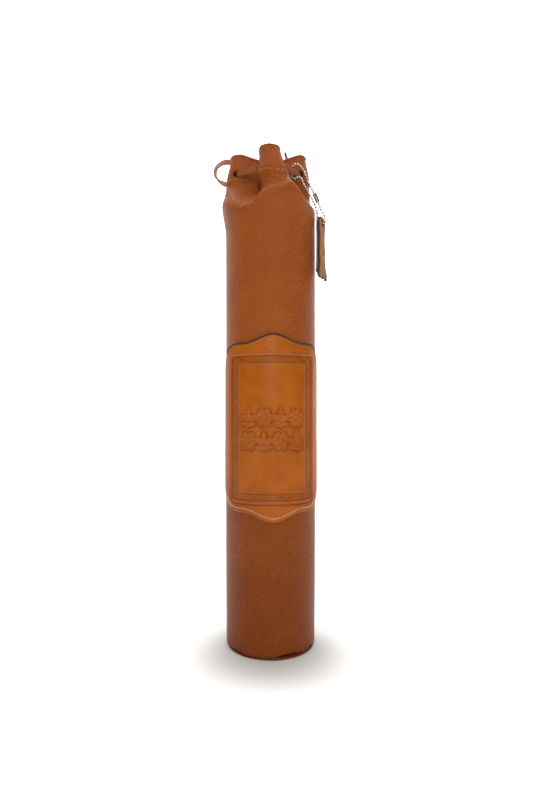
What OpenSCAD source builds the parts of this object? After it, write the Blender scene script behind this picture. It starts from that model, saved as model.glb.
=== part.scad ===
// Leather drawstring case for a rolled scroll.
// The case stands on its round base. Front is -Y, right is +X, up is +Z, millimetres.
// Azimuths run from the front (0) to the right (90), the back (180) and the left (270).

/* [Sleeve] */
// Outer radius of the straight leather sleeve
sleeve_r = 31; // [28:0.5:34]
// Thickness of the sleeve leather
leather_t = 1.2; // [1:0.1:1.4]
// Height at which the sleeve starts to gather into the neck
neck_z = 296; // [260:1:320]
// Leather length from the start of the gather to the rim
neck_len = 40.5; // [38:0.5:44]
// Width of the bottom edge that is turned in over the base
turn_in = 4; // [3:0.5:6]

/* [Gathered neck] */
// Distance from the axis to the crest of the front, right, back and left folds
fold_crest = [25.5, 26.5, 23, 30]; // [20:0.5:31]
// Azimuths of the front, right, back and left folds
fold_azimuth = [-3, 90, 180, 270]; // [-3:1:273]
// Half width of the front, right, back and left folds
fold_half = [6.9, 6.6, 7, 6.8]; // [6:0.1:8]
// Distance from the axis to the bottom of each valley between folds
valley_r = 9; // [8.5:0.5:11]
// How far the gathered neck is turned against the body, in degrees
neck_twist = 18; // [0:1:24]
// How much lower the rim lies in a valley than on a crest
valley_drop = 4.5; // [3:0.5:8]
// How far the shoulder bulges out at the left front, just above the start of the gather
shoulder_bulge = 2.4; // [0:0.2:3]
// Share by which the folds lean inwards from the lace to the rim
rim_lean = 0.1; // [0:0.02:0.14]

/* [Hem and lace holes] */
// Distance from the rim down to the lace holes' centres
hole_below_rim = 13; // [12:0.5:14]
// Distance from the rim down to the lower row of hem stitches
hem_width = 17; // [16.8:0.1:18]
// Thickness of the facing strip sewn inside the rim
facing_t = 0.8; // [0.6:0.1:1]

/* [Base and core] */
// Thickness of the leather base disc
base_t = 1.5; // [1.2:0.1:2]
// Thickness of the board inside the base
board_t = 2; // [1.5:0.1:3]
// Wall of the stiff tube inside the sleeve
core_wall = 1.6; // [1.2:0.1:2.4]

/* [Front patch] */
// Thickness of the patch
patch_t = 1.2; // [1:0.1:2]
// Half of the angle that the patch covers, in degrees
patch_half_angle = 79; // [60:1:85]
// Azimuth of the patch's middle, in degrees
patch_azimuth = 3; // [0:1:5]
// Height of the patch's middle
patch_z = 150; // [130:1:170]
// Height of the patch from shoulder to shoulder
patch_h = 110.6; // [90:0.2:130]
// Rise of the pointed curve in the middle of the top and bottom edges
patch_rise = 5.6; // [4:0.2:8]
// How far from the middle that curve meets the straight shoulders
patch_rise_reach = 20; // [16:1:26]
// Radius of the patch's corners
patch_corner = 18; // [8:1:18]

/* [Thread] */
// Distance from one stitch to the next
stitch_pitch = 2.2; // [2:0.1:3]
// Thickness of the sewing thread
thread_d = 0.44; // [0.36:0.02:0.5]

/* [Lace] */
// Width of the flat leather lace
lace_w = 5.1; // [4.6:0.1:5.2]
// Thickness of the lace
lace_t = 1.3; // [1:0.1:1.4]
// How far the lace's pull loop can be drawn out
lace_travel = 9; // [6:0.5:9]

/* [Ball chain and tags] */
// Diameter of the chain's balls
ball_d = 1.7; // [1.5:0.1:1.8]
// Distance from one ball to the next
ball_pitch = 2.2; // [2.1:0.1:2.4]
// Azimuth that the hanging tags face
tag_azimuth = 70; // [68:1:74]
// Distance from the axis to the middle plane of the leather tag
tag_r = 35.1; // [35.1:0.1:35.6]
// How far back along that plane their hole is
tag_shift = 5; // [4:0.5:6]
// Height of the hole in the tags
tag_hole_z = 288.5; // [284:0.5:292]
// Width of the leather tag
tag_w = 18; // [16:1:20]
// Height of the leather tag
tag_h = 43; // [40:1:50]
// Thickness of the leather tag
tag_t = 2; // [1.8:0.1:2.4]
// Thickness of the card behind the leather tag
card_t = 0.5; // [0.3:0.1:0.6]

/* [Hidden] */

columns = 88;
neck_rows = 24;
hole_columns = 3;
hole_rows = 4;
folds = 4;
// Middle column of a lace hole, counted from the crest of its fold.
hole_column = 4.5;
touch_gap = 0.03;
r_mid = sleeve_r - leather_t / 2;
row_h = neck_len / neck_rows;
hole_row = round((neck_len - hole_below_rim) / row_h);
hole_h = neck_z + hole_row * row_h;
rim_h = neck_z + neck_len;
gather_start = 0.5;
gather_end = 22;
shortest_crest = min(fold_crest);

// ---------------------------------------------------------------- helpers

function unit(v) = v / norm(v);
function clamp01(x) = max(0, min(1, x));
function smooth(x) = let (t = clamp01(x)) t * t * (3 - 2 * t);
function turn(x) = x - 360 * floor(x / 360);
function round_point(a, r) = [r * sin(a), -r * cos(a)];
// A point given along and across the direction of azimuth a.
function local_point(a, u, v) = [u * sin(a) + v * cos(a), -u * cos(a) + v * sin(a)];
function catmull(p, q, r, s, t) =
    0.5 * ((2 * q) + (r - p) * t + (2 * p - 5 * q + 4 * r - s) * t * t
        + (3 * q - p - 3 * r + s) * t * t * t);
function closed_curve(points, per) = let (n = len(points)) [
    for (i = [0 : n - 1], k = [0 : per - 1])
        catmull(points[(i + n - 1) % n], points[i], points[(i + 1) % n], points[(i + 2) % n], k / per)
];
function open_curve(points, per) = let (n = len(points)) [
    for (i = [0 : n - 2], k = [0 : per - 1])
        catmull(points[max(i - 1, 0)], points[i], points[i + 1], points[min(i + 2, n - 1)], k / per),
    points[n - 1]
];
function running_length(points) = [
    let (last = len(points) - 1)
    for (i = 0, s = 0; i <= last; s = s + norm(points[min(i + 1, last)] - points[i]), i = i + 1) s
];
// The point at distance s along a line of points whose running lengths are given.
function along(points, lengths, s) = [
    for (axis = [0 : len(points[0]) - 1])
        lookup(s, [for (i = [0 : len(points) - 1]) [lengths[i], points[i][axis]]])
];

// A frame with z along one direction and x as near as possible to another.
module placed(p, z, x) {
    zz = unit(z);
    yy = unit(cross(zz, x));
    xx = cross(yy, zz);
    multmatrix([
        [xx.x, yy.x, zz.x, p.x],
        [xx.y, yy.y, zz.y, p.y],
        [xx.z, yy.z, zz.z, p.z],
        [0, 0, 0, 1]
    ]) children();
}

module rod(a, b, d, sides = 8) {
    placed((a + b) / 2, b - a, abs(unit(b - a).z) > 0.9 ? [1, 0, 0] : [0, 0, 1])
        cylinder(h = norm(b - a), d = d, center = true, $fn = sides);
}

// Closed skin through rings of points; every ring has the same number of points.
module skin(rings) {
    n = len(rings[0]);
    m = len(rings);
    polyhedron(
        points = [for (ring = rings) each ring],
        faces = [
            for (j = [0 : m - 2], i = [0 : n - 1]) each let (k = (i + 1) % n) [
                [j * n + i, (j + 1) * n + i, (j + 1) * n + k],
                [j * n + i, (j + 1) * n + k, j * n + k]
            ],
            [for (i = [0 : n - 1]) i],
            [for (i = [n - 1 : -1 : 0]) (m - 1) * n + i]
        ]
    );
}

// A flat strip along points; wide[i] is the direction of its width at point i.
module strip(points, wide, w, t) {
    last = len(points) - 1;
    skin([
        for (i = [0 : last])
            let (
                forward = unit(points[min(i + 1, last)] - points[max(i - 1, 0)]),
                thin = unit(cross(forward, wide[i])),
                broad = unit(cross(thin, forward)),
                corner = 0.3 * t
            ) [
                points[i] + broad * (w / 2) + thin * (t / 2 - corner),
                points[i] + broad * (w / 2 - corner) + thin * (t / 2),
                points[i] - broad * (w / 2 - corner) + thin * (t / 2),
                points[i] - broad * (w / 2) + thin * (t / 2 - corner),
                points[i] - broad * (w / 2) - thin * (t / 2 - corner),
                points[i] - broad * (w / 2 - corner) - thin * (t / 2),
                points[i] + broad * (w / 2 - corner) - thin * (t / 2),
                points[i] + broad * (w / 2) - thin * (t / 2 - corner)
            ]
    ]);
}

// ---------------------------------------------------------------- gathered neck

// The outline of one fold from its crest to the next valley, side +1 or -1.
function fold_side(k, side) = let (
    a = fold_azimuth[k],
    c = fold_crest[k],
    w = fold_half[k],
    valley = valley_r / sqrt(2)
) [
    local_point(a, c - 3, side * 0.82 * w),
    local_point(a, (c + valley) / 2 + 1, side * w),
    local_point(a, valley + 2.6, side * (valley + 0.2)),
    local_point(a, valley, side * valley)
];
gather_points = [
    for (k = [0 : folds - 1]) each concat(
        [local_point(fold_azimuth[k], fold_crest[k], 0)],
        fold_side(k, 1),
        [for (i = [2 : -1 : 0]) fold_side((k + 1) % folds, -1)[i]]
    )
];
gather_line = closed_curve(gather_points, 6);
samples_per_fold = len(gather_line) / folds;
gather_loop = concat(gather_line, [gather_line[0]]);
gather_lengths = running_length(gather_loop);
// Leather coordinate of sample i: each fold's crest lies at a whole quarter turn.
function sample_angle(i) = let (
    fold = min(floor(i / samples_per_fold), folds - 1),
    a = gather_lengths[fold * samples_per_fold],
    b = gather_lengths[(fold + 1) * samples_per_fold]
) 360 / folds * (fold + (gather_lengths[i] - a) / (b - a));
gather_x = [for (i = [0 : len(gather_loop) - 1]) [sample_angle(i), gather_loop[i].x]];
gather_y = [for (i = [0 : len(gather_loop) - 1]) [sample_angle(i), gather_loop[i].y]];
// The gathered outline at leather coordinate c, in degrees round the sleeve from the front fold.
function gathered(c) = [lookup(turn(c), gather_x), lookup(turn(c), gather_y)];

// The middle of the leather at leather coordinate c and leather height h.
function leather_mid(c, h) = let (
    s = h - neck_z,
    w = smooth((s - gather_start) / (gather_end - gather_start)),
    g = gathered(c),
    lean = 1 - rim_lean * smooth((s - gather_end) / (neck_len - gather_end)),
    left_side = 0.5 + 0.5 * cos(c + neck_twist - 290),
    swell = shoulder_bulge * left_side * smooth(s / 7) * (1 - smooth((s - 8) / 14)),
    flat = round_point(c + neck_twist, r_mid + swell),
    xy = flat * (1 - w) + g * (w * lean),
    sunk = 1 - clamp01((norm(g) - valley_r) / (shortest_crest - valley_r))
) [xy.x, xy.y, h - valley_drop * w * sunk];
function leather_normal(c, h) = unit(cross(
    leather_mid(c + 1, h) - leather_mid(c - 1, h),
    leather_mid(c, h + 0.5) - leather_mid(c, h - 0.5)
));
// A point at distance out from the middle of the leather, positive outwards.
function leather(c, h, out) = leather_mid(c, h) + leather_normal(c, h) * out;

function column_angle(i) = 360 * i / columns;
// Holes are numbered from the front fold's right side round to its left side, two to a fold.
function hole_angle(k) = let (
    side = k % 2 == 0 ? 1 : -1
) 360 / folds * floor((k + 1) / 2) + side * column_angle(hole_column);
function hole_point(k, out = 0) = leather(hole_angle(k), hole_h, out);
// True for the cells that a lace hole takes out of the leather.
function in_hole(i, row) = let (
    pitch = columns / folds,
    from_crest = (i + 0.5) % pitch
) abs(min(from_crest, pitch - from_crest) - hole_column) < hole_columns / 2
    && abs(row + 0.5 - hole_row) < hole_rows / 2;

// A closed leather shell between two grids of points, outer[j][i] and inner[j][i].
// The lace holes are left out of it.
// The grids' rows start at neck row first_row, after some extra rows that have no holes.
module leather_shell(outer, inner, extra, first_row) {
    m = len(outer);
    n = columns;
    size = m * n;
    function open_cell(i, j) = j >= extra && in_hole((i + n) % n, j - extra + first_row);
    function at(i, j, layer) = layer * size + j * n + (i + n) % n;
    function quad(a, b, c, d) = [[a, b, c], [a, c, d]];
    function hole_wall(i, j, k, l) = quad(at(i, j, 0), at(k, l, 0), at(k, l, 1), at(i, j, 1));
    polyhedron(
        points = concat([for (ring = outer) each ring], [for (ring = inner) each ring]),
        faces = [
            for (j = [0 : m - 2], i = [0 : n - 1]) if (!open_cell(i, j)) each concat(
                quad(at(i, j, 0), at(i, j + 1, 0), at(i + 1, j + 1, 0), at(i + 1, j, 0)),
                quad(at(i, j, 1), at(i + 1, j, 1), at(i + 1, j + 1, 1), at(i, j + 1, 1))
            ),
            for (i = [0 : n - 1]) each concat(
                quad(at(i, 0, 0), at(i + 1, 0, 0), at(i + 1, 0, 1), at(i, 0, 1)),
                quad(at(i, m - 1, 0), at(i, m - 1, 1), at(i + 1, m - 1, 1), at(i + 1, m - 1, 0))
            ),
            for (j = [extra : m - 2], i = [0 : n - 1]) if (open_cell(i, j)) each concat(
                open_cell(i - 1, j) ? [] : hole_wall(i, j, i, j + 1),
                open_cell(i + 1, j) ? [] : hole_wall(i + 1, j + 1, i + 1, j),
                open_cell(i, j - 1) ? [] : hole_wall(i + 1, j, i, j),
                open_cell(i, j + 1) ? [] : hole_wall(i, j + 1, i + 1, j + 1)
            )
        ]
    );
}

function plain_ring(r, z) = [
    for (i = [0 : columns - 1]) let (p = round_point(column_angle(i) + neck_twist, r)) [p.x, p.y, z]
];
function neck_ring(row, out) = [
    for (i = [0 : columns - 1]) leather(column_angle(i), neck_z + row * row_h, out)
];

module sleeve() {
    bottom = base_t + touch_gap;
    half = leather_t / 2;
    color("saddlebrown") leather_shell(
        concat(
            [
                plain_ring(sleeve_r - turn_in, bottom),
                plain_ring(sleeve_r - 0.6, bottom),
                plain_ring(sleeve_r, bottom + 1.4)
            ],
            [for (row = [0 : neck_rows]) neck_ring(row, half)]
        ),
        concat(
            [
                plain_ring(sleeve_r - turn_in, bottom + leather_t),
                plain_ring(sleeve_r - leather_t - 0.2, bottom + leather_t),
                plain_ring(sleeve_r - leather_t, bottom + 1.6)
            ],
            [for (row = [0 : neck_rows]) neck_ring(row, -half)]
        ),
        3, 0
    );
}

module mouth_facing() {
    first = hole_row - 5;
    near = -leather_t / 2 - 0.1;
    rows = [for (row = [first : neck_rows]) row];
    color("peru") leather_shell(
        [for (row = rows) neck_ring(row, near)],
        [for (row = rows) neck_ring(row, near - facing_t)],
        0, first
    );
}

// ---------------------------------------------------------------- base and core

module base_disc() {
    r = sleeve_r - 0.7;
    soft = 0.5;
    color("sienna") rotate_extrude($fn = 120) union() {
        square([r - soft, base_t]);
        translate([0, soft]) square([r, base_t - 2 * soft]);
        for (z = [soft, base_t - soft]) translate([r - soft, z]) circle(r = soft, $fn = 24);
    }
}

board_z = base_t + leather_t + 2 * touch_gap + thread_d + 0.1;
module base_board() {
    r = sleeve_r - leather_t - 0.4;
    color("burlywood") translate([0, 0, board_z]) cylinder(r = r, h = board_t, $fn = 120);
}

module core_tube() {
    outer = sleeve_r - leather_t - 0.15;
    z = board_z + board_t + touch_gap;
    color("tan") translate([0, 0, z]) difference() {
        cylinder(r = outer, h = neck_z - z, $fn = 120);
        translate([0, 0, -1]) cylinder(r = outer - core_wall, h = neck_z, $fn = 120);
    }
}

// ---------------------------------------------------------------- front patch

patch_in = sleeve_r + touch_gap;
patch_out = patch_in + patch_t;
patch_half_len = patch_half_angle * PI / 180 * patch_out;
// Half height of the patch at distance x along the sleeve from its middle, or of a line inset from its edge.
function patch_edge(x, inset = 0) = let (
    r = patch_corner - inset,
    short = r - (patch_half_len - inset - abs(x)),
    corner = short > 0 ? r - sqrt(max(0, r ^ 2 - short ^ 2)) : 0
) patch_h / 2 - inset - corner + patch_rise * (1 - smooth(abs(x) / patch_rise_reach));
function patch_angle(x) = patch_azimuth + x / patch_out * 180 / PI;
function on_patch(x, z, r) = let (p = round_point(patch_angle(x), r)) [p.x, p.y, patch_z + z];

module front_patch() {
    steps = [
        for (i = [0 : 12]) patch_corner * (1 - cos(7.5 * i)),
        for (i = [1 : 32]) patch_corner + (patch_half_len - patch_corner) * i / 32
    ];
    last = len(steps) - 1;
    left = [for (s = steps) s - patch_half_len];
    xs = concat(left, [for (i = [last - 1 : -1 : 0]) -left[i]]);
    color("peru") skin([
        for (x = xs) [
            on_patch(x, patch_edge(x), patch_in), on_patch(x, patch_edge(x), patch_out),
            on_patch(x, -patch_edge(x), patch_out), on_patch(x, -patch_edge(x), patch_in)
        ]
    ]);
}

// The stitch line, a fixed margin inside the patch's edge: top edge, right side, bottom edge, left side.
stitch_margin = 2.8;
patch_stitch_line = let (
    half = patch_half_len - stitch_margin,
    xs = [for (i = [0 : 80]) half * sin(-90 + 180 * i / 80)],
    side = patch_edge(half, stitch_margin)
) concat(
    [for (x = xs) [x, patch_edge(x, stitch_margin)]],
    [for (i = [1 : 29]) [half, side - 2 * side * i / 30]],
    [for (i = [80 : -1 : 0]) [xs[i], -patch_edge(xs[i], stitch_margin)]],
    [for (i = [1 : 30]) [-half, -side + 2 * side * i / 30]]
);

module patch_stitching() {
    lengths = running_length(patch_stitch_line);
    total = lengths[len(lengths) - 1];
    count = round(total / stitch_pitch);
    r = patch_out + thread_d / 2 + touch_gap;
    color("antiquewhite") for (k = [0 : count - 1]) {
        a = along(patch_stitch_line, lengths, total * (k + 0.18) / count);
        b = along(patch_stitch_line, lengths, total * (k + 0.82) / count);
        rod(on_patch(a.x, a.y, r), on_patch(b.x, b.y, r), thread_d);
    }
}

// Short dark stitches over the patch's top edge, slanting all one way.
module patch_edge_stitching() {
    pitch = 1.65;
    reach = patch_half_len - 6;
    count = floor(2 * reach / pitch);
    r = patch_out + thread_d / 2 + touch_gap;
    color("black") for (k = [0 : count]) {
        x = -reach + k * pitch;
        inner = on_patch(x - 0.3, patch_edge(x - 0.3) - 0.9, r);
        outer = on_patch(x + 0.35, patch_edge(x + 0.35) + 0.35, r);
        rod(inner, outer, thread_d);
    }
}

// ---------------------------------------------------------------- thread in the leather sleeve

// In the tight bottom of each valley the thread stays under the leather.
module ring_of_stitches(h) {
    count = round(2 * PI * r_mid / stitch_pitch);
    out = leather_t / 2 + thread_d / 2 + 0.3;
    color("antiquewhite") for (k = [0 : count - 1]) {
        a = 360 * (k + 0.2) / count;
        b = 360 * (k + 0.8) / count;
        in_valley = min(norm(gathered(a)), norm(gathered(b))) < valley_r + 1.2;
        if (!in_valley) rod(leather(a, h, out), leather(b, h, out), thread_d);
    }
}
module hem_stitching_upper() { ring_of_stitches(rim_h - 2.4); }
module hem_stitching_lower() { ring_of_stitches(rim_h - hem_width); }

module back_seam_stitching() {
    azimuth = 184;
    pitch = 3;
    low = 12;
    count = floor((neck_z - 4 - low) / pitch);
    p = round_point(azimuth, sleeve_r + thread_d / 2 + touch_gap);
    color("antiquewhite") for (k = [0 : count - 1])
        rod([p.x, p.y, low + (k + 0.18) * pitch], [p.x, p.y, low + (k + 0.82) * pitch], thread_d);
}

module base_seam_stitching() {
    r = sleeve_r - turn_in + 1.4;
    z = base_t + leather_t + 2 * touch_gap + thread_d / 2;
    count = round(2 * PI * r / 3);
    function seam_point(k) = let (p = round_point(360 * k / count, r)) [p.x, p.y, z];
    color("antiquewhite") for (k = [0 : count - 1])
        rod(seam_point(k + 0.18), seam_point(k + 0.82), thread_d);
}

// ---------------------------------------------------------------- lace

up = [0, 0, 1];
function mix(a, b, t) = a + (b - a) * t;
// Points where a run of lace between two holes keeps straight, away from the holes.
function lace_run(a, b) = [mix(a, b, 0.13), mix(a, b, 0.5), mix(a, b, 0.87)];
module lace_through(points) {
    strip(points, [for (p = points) up], lace_w, lace_t);
}

knot_centre = let (a = hole_point(1), b = hole_point(2)) mix(a, b, 0.5);
knot_d = 6.4;
knot_len = 5;
knot_axis = unit(hole_point(2) - hole_point(1));

// From inside the left fold, out over the left valley, behind the front fold,
// then over the right valley to the knot.
module lace_front() {
    color("saddlebrown") lace_through(concat(
        [mix(hole_point(5), hole_point(6), 0.3), mix(hole_point(5), hole_point(6), 0.87)],
        lace_run(hole_point(6), hole_point(7)),
        lace_run(hole_point(7), hole_point(0)),
        lace_run(hole_point(0), hole_point(1)),
        [mix(hole_point(1), hole_point(2), 0.13), knot_centre - knot_axis * (knot_len / 2 + 0.1)]
    ));
}

// From the knot, out over the back right valley, to inside the back fold.
module lace_back() {
    color("saddlebrown") lace_through(concat(
        [knot_centre + knot_axis * (knot_len / 2 + 0.1), mix(hole_point(1), hole_point(2), 0.87)],
        lace_run(hole_point(2), hole_point(3)),
        [mix(hole_point(3), hole_point(4), 0.13), mix(hole_point(3), hole_point(4), 0.7)]
    ));
}

module lace_knot() {
    color("saddlebrown") placed(knot_centre, knot_axis, up) rotate_extrude($fn = 48)
        translate([0, -knot_len / 2]) union() {
            square([knot_d / 2 - 1, knot_len]);
            translate([0, 1]) square([knot_d / 2, knot_len - 2]);
            for (z = [1, knot_len - 1]) translate([knot_d / 2 - 1, z]) circle(r = 1, $fn = 24);
        }
}

// The lace's two cut ends, from the knot up into the mouth.
module lace_ends() {
    across = [0, 1, 0];
    from = knot_centre + [-3.6, 0.4, 2.4];
    long_end = open_curve([from, [14.2, 0.8, 330], [11.6, 1, 335.6], [10.2, 1.2, 340]], 3);
    short_end = open_curve([knot_centre + [-3.9, -0.4, -0.6], [14.4, -0.8, 324.5], [12.4, -1.2, 329]], 3);
    color("saddlebrown") {
        strip(long_end, [for (p = long_end) across], lace_w, lace_t);
        strip(short_end, [for (p = short_end) across], lace_w, lace_t);
    }
}

// The pull loop comes out of the back fold's left hole and goes in at the left fold's back hole.
loop_from = hole_point(4);
loop_to = hole_point(5);
loop_out = unit([-1, 1, 0]);
loop_points = [
    [-14.5, 20, 327], [-18, 18, 332], [-23, 14.8, 336.5], [-28, 12.6, 338.6], [-34, 11.8, 338],
    [-38.6, 11.4, 334],
    [-39.2, 11.2, 328.6], [-36, 11.2, 324.4], [-31, 11.4, 322.4]
];
loop_widths = [
    [0, 0.1, 1], [0, 0.2, 1], [0, 0.3, 1], [0, 0.4, 0.9], [-0.2, 0.6, 0.8], [-0.4, 0.8, 0.5],
    [-0.3, 0.85, 0.4], [0, 0.8, 0.6], [0, 0.5, 0.9]
];
// Its two ends run on inside the folds, so they still fill the holes when the loop is drawn out.
module lace_pull_loop() {
    inside = lace_travel + 0.5;
    route = open_curve(concat([loop_from + loop_out * 2.4], loop_points, [loop_to + loop_out * 2.4]), 3);
    widths = open_curve(concat([up], loop_widths, [up]), 3);
    color("saddlebrown") strip(
        concat(
            [loop_from - loop_out * inside, loop_from - loop_out * 2],
            route,
            [loop_to - loop_out * 2, loop_to - loop_out * inside]
        ),
        concat([up, up], widths, [up, up]), lace_w, lace_t
    );
}

// ---------------------------------------------------------------- ball chain

tag_dir = [sin(tag_azimuth), -cos(tag_azimuth), 0];
tag_side = [cos(tag_azimuth), sin(tag_azimuth), 0];
tag_centre = tag_dir * tag_r + tag_side * tag_shift + [0, 0, tag_hole_z];
// The two strands hang from the links at the lace, and the bight hangs from the links above the tags.
lace_links = [[20.2, -14.2, 317.6], [24.8, -9.2, 317.6]];
tag_links = [[31.2, -11.8, 297], [35, -7.2, 297]];
tag_slot = tag_centre + [0, 0, 0.6];

// Under the lace, up behind it and over it.
chain_top_route = [
    lace_links[0], [18.2, -12.4, 318.2], [16, -10, 318.2], [14.4, -8.4, 320], [14.4, -8.4, 325.6],
    [15.9, -9.9, 327.6], [18.6, -11.6, 327.2], [22, -10.8, 324], lace_links[1]
];
front_strand_route = [lace_links[0], [22.6, -15, 311.6], [27.2, -14.7, 304], tag_links[0]];
rear_strand_route = [lace_links[1], [27.6, -10.2, 312], [31.2, -9.6, 304.8], tag_links[1]];
// Down behind the tags, out through their hole and up in front of them.
chain_bight_route = [
    tag_links[0], tag_slot - tag_dir * 2.85 + [0, 0, 3.6], tag_slot - tag_dir * 2.85, tag_slot,
    tag_slot + tag_dir * 2.8,
    tag_slot + tag_dir * 2.2 + [0, 0, 4.6], tag_links[1]
];

// The balls along a route between two links; each link lies midway between two balls.
function balls_along(route) = let (
    line = open_curve(route, 8),
    lengths = running_length(line),
    total = lengths[len(lengths) - 1],
    count = round(total / ball_pitch)
) [for (k = [0 : count - 1]) along(line, lengths, total * (k + 0.5) / count)];

// Balls with a short wire link showing in the gap between each two.
module ball_chain(balls) {
    for (p = balls) translate(p) sphere(d = ball_d, $fn = 32);
    for (i = [1 : len(balls) - 1]) {
        inset = unit(balls[i] - balls[i - 1]) * (ball_d / 2 + 0.01);
        rod(balls[i - 1] + inset, balls[i] - inset, 0.5, 16);
    }
}

rear_balls = balls_along(rear_strand_route);

module chain_top() { color("silver") ball_chain(balls_along(chain_top_route)); }
module chain_strands() {
    color("silver") {
        ball_chain(balls_along(front_strand_route));
        ball_chain(rear_balls);
    }
}
module chain_bight() { color("silver") ball_chain(balls_along(chain_bight_route)); }

// A short split sleeve of sheet metal that snaps over the chain's two end balls.
module chain_connector() {
    first = floor(len(rear_balls) / 2);
    a = rear_balls[first];
    b = rear_balls[first + 2];
    bore = ball_d + 0.5;
    color("gainsboro") placed((a + b) / 2, b - a, tag_dir) difference() {
        cylinder(d = bore + 0.6, h = 6.4, center = true, $fn = 40);
        cylinder(d = bore, h = 8, center = true, $fn = 40);
        translate([2, 0, 0]) cube([4, 0.7, 8], center = true);
    }
}

// ---------------------------------------------------------------- tags

tag_top = 4.6;
tag_hole_d = 4.8;
module on_tag_plane(r) {
    placed(tag_dir * r + tag_side * tag_shift + [0, 0, tag_hole_z], tag_dir, tag_side) children();
}

// A swatch cut like a small hide: narrow neck, spread corners, wavy lower edge.
module leather_tag() {
    half = tag_w / 2;
    low = tag_top - tag_h;
    outline = [
        [-half * 0.5, tag_top], [half * 0.5, tag_top], [half * 0.85, tag_top - 5],
        [half * 0.72, -12], [half * 0.78, -28],
        [half, low + 3], [half * 0.8, low], [half * 0.5, low + 1.6], [half * 0.2, low + 0.3],
        [-half * 0.1, low + 1.5], [-half * 0.45, low], [-half * 0.75, low + 1.4], [-half, low + 0.6],
        [-half * 0.8, -28], [-half * 0.72, -12], [-half * 0.85, tag_top - 5]
    ];
    color("sandybrown") on_tag_plane(tag_r) difference() {
        linear_extrude(tag_t, center = true) polygon(outline);
        cylinder(d = tag_hole_d, h = tag_t + 2, center = true, $fn = 40);
    }
}

module paper_card() {
    w = tag_w - 3;
    h = tag_h - 5;
    r = tag_r - tag_t / 2 - card_t / 2 - 0.35;
    color("white") on_tag_plane(r) difference() {
        linear_extrude(card_t, center = true) translate([-w / 2, tag_top - 0.8 - h]) square([w, h]);
        cylinder(d = tag_hole_d, h = card_t + 2, center = true, $fn = 40);
    }
}

sleeve();
mouth_facing();
base_disc();
base_board();
core_tube();
front_patch();
patch_stitching();
patch_edge_stitching();
hem_stitching_upper();
hem_stitching_lower();
back_seam_stitching();
base_seam_stitching();
lace_front();
lace_back();
lace_knot();
lace_ends();
lace_pull_loop();
chain_top();
chain_strands();
chain_connector();
chain_bight();
leather_tag();
paper_card();
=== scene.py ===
"""Looks of a leather drawstring case for a rolled scroll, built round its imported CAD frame.

Lengths in this script are millimetres until a mesh is made. Front is -Y, right is +X. Azimuths run
from the front (0) to the right (90), the back (180) and the left (270), in degrees.
"""

import math

import bmesh
import bpy
import numpy as np
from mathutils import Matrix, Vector


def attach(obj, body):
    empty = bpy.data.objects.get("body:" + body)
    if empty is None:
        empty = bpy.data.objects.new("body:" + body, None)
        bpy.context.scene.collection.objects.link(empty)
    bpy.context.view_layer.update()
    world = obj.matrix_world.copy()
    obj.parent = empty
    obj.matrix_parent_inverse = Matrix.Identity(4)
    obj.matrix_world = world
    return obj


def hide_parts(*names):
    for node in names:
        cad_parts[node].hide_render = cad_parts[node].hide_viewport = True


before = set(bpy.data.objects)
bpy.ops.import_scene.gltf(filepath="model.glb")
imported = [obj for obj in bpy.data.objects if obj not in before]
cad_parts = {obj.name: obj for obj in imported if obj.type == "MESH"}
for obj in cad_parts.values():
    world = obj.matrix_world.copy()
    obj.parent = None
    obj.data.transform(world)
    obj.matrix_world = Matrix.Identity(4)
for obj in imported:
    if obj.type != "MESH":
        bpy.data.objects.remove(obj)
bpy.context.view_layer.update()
MM = 0.001

# Driving dimensions, the same as the CAD model's but for the pitch of the stitches.
SLEEVE_R = 31.0
LEATHER_T = 1.2
NECK_Z = 296.0
NECK_LEN = 40.5
TURN_IN = 4.0
FOLD_CREST = [25.5, 26.5, 23.0, 30.0]
FOLD_AZIMUTH = [-3.0, 90.0, 180.0, 270.0]
FOLD_HALF = [6.9, 6.6, 7.0, 6.8]
VALLEY_R = 9.0
VALLEY_DROP = 4.5
RIM_LEAN = 0.1
GATHER_END = 22.0
HEM_WIDTH = 17.0
FACING_T = 0.8
BASE_T = 1.5
PATCH_IN = 31.03
PATCH_T = 1.2
PATCH_HALF_ANGLE = 79.0
PATCH_AZIMUTH = 3.0
PATCH_Z = 150.0
PATCH_H = 110.6
PATCH_RISE = 5.6
PATCH_RISE_REACH = 20.0
PATCH_CORNER = 18.0
STITCH_PITCH = 2.0
THREAD_D = 0.44
LACE_W = 5.1
LACE_T = 1.3
LACE_TRAVEL = 9.0
BALL_D = 1.7
BALL_PITCH = 2.2
TAG_AZIMUTH = 70.0
TAG_R = 35.1
TAG_SHIFT = 5.0
TAG_HOLE_Z = 288.5
TAG_W = 18.0
TAG_H = 43.0
TAG_T = 2.0
TAG_TOP = 4.6
TAG_HOLE_D = 4.8
CARD_T = 0.5

R_MID = SLEEVE_R - LEATHER_T / 2
RIM_H = NECK_Z + NECK_LEN
# The CAD model's neck is a grid of 88 columns and 24 rows; a lace hole and the facing keep to it.
ROW_H = NECK_LEN / 24
HOLE_H = NECK_Z + 16 * ROW_H
FACING_LOW_H = NECK_Z + 11 * ROW_H
HOLE_OFF_CREST = 4.5 * 360 / 88
HEM_UPPER_H = RIM_H - 2.4
HEM_LOWER_H = RIM_H - HEM_WIDTH
DEGREE = math.radians(1) * R_MID
UP = np.array([0.0, 0.0, 1.0])


# ---------------------------------------------------------------- curves and vectors

def unit(v):
    v = np.asarray(v, float)
    return v / np.maximum(np.linalg.norm(v, axis=-1, keepdims=True), 1e-12)


def smooth(x):
    t = np.clip(x, 0, 1)
    return t * t * (3 - 2 * t)


def bell(x, width):
    return np.exp(-np.square(x / width))


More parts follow.
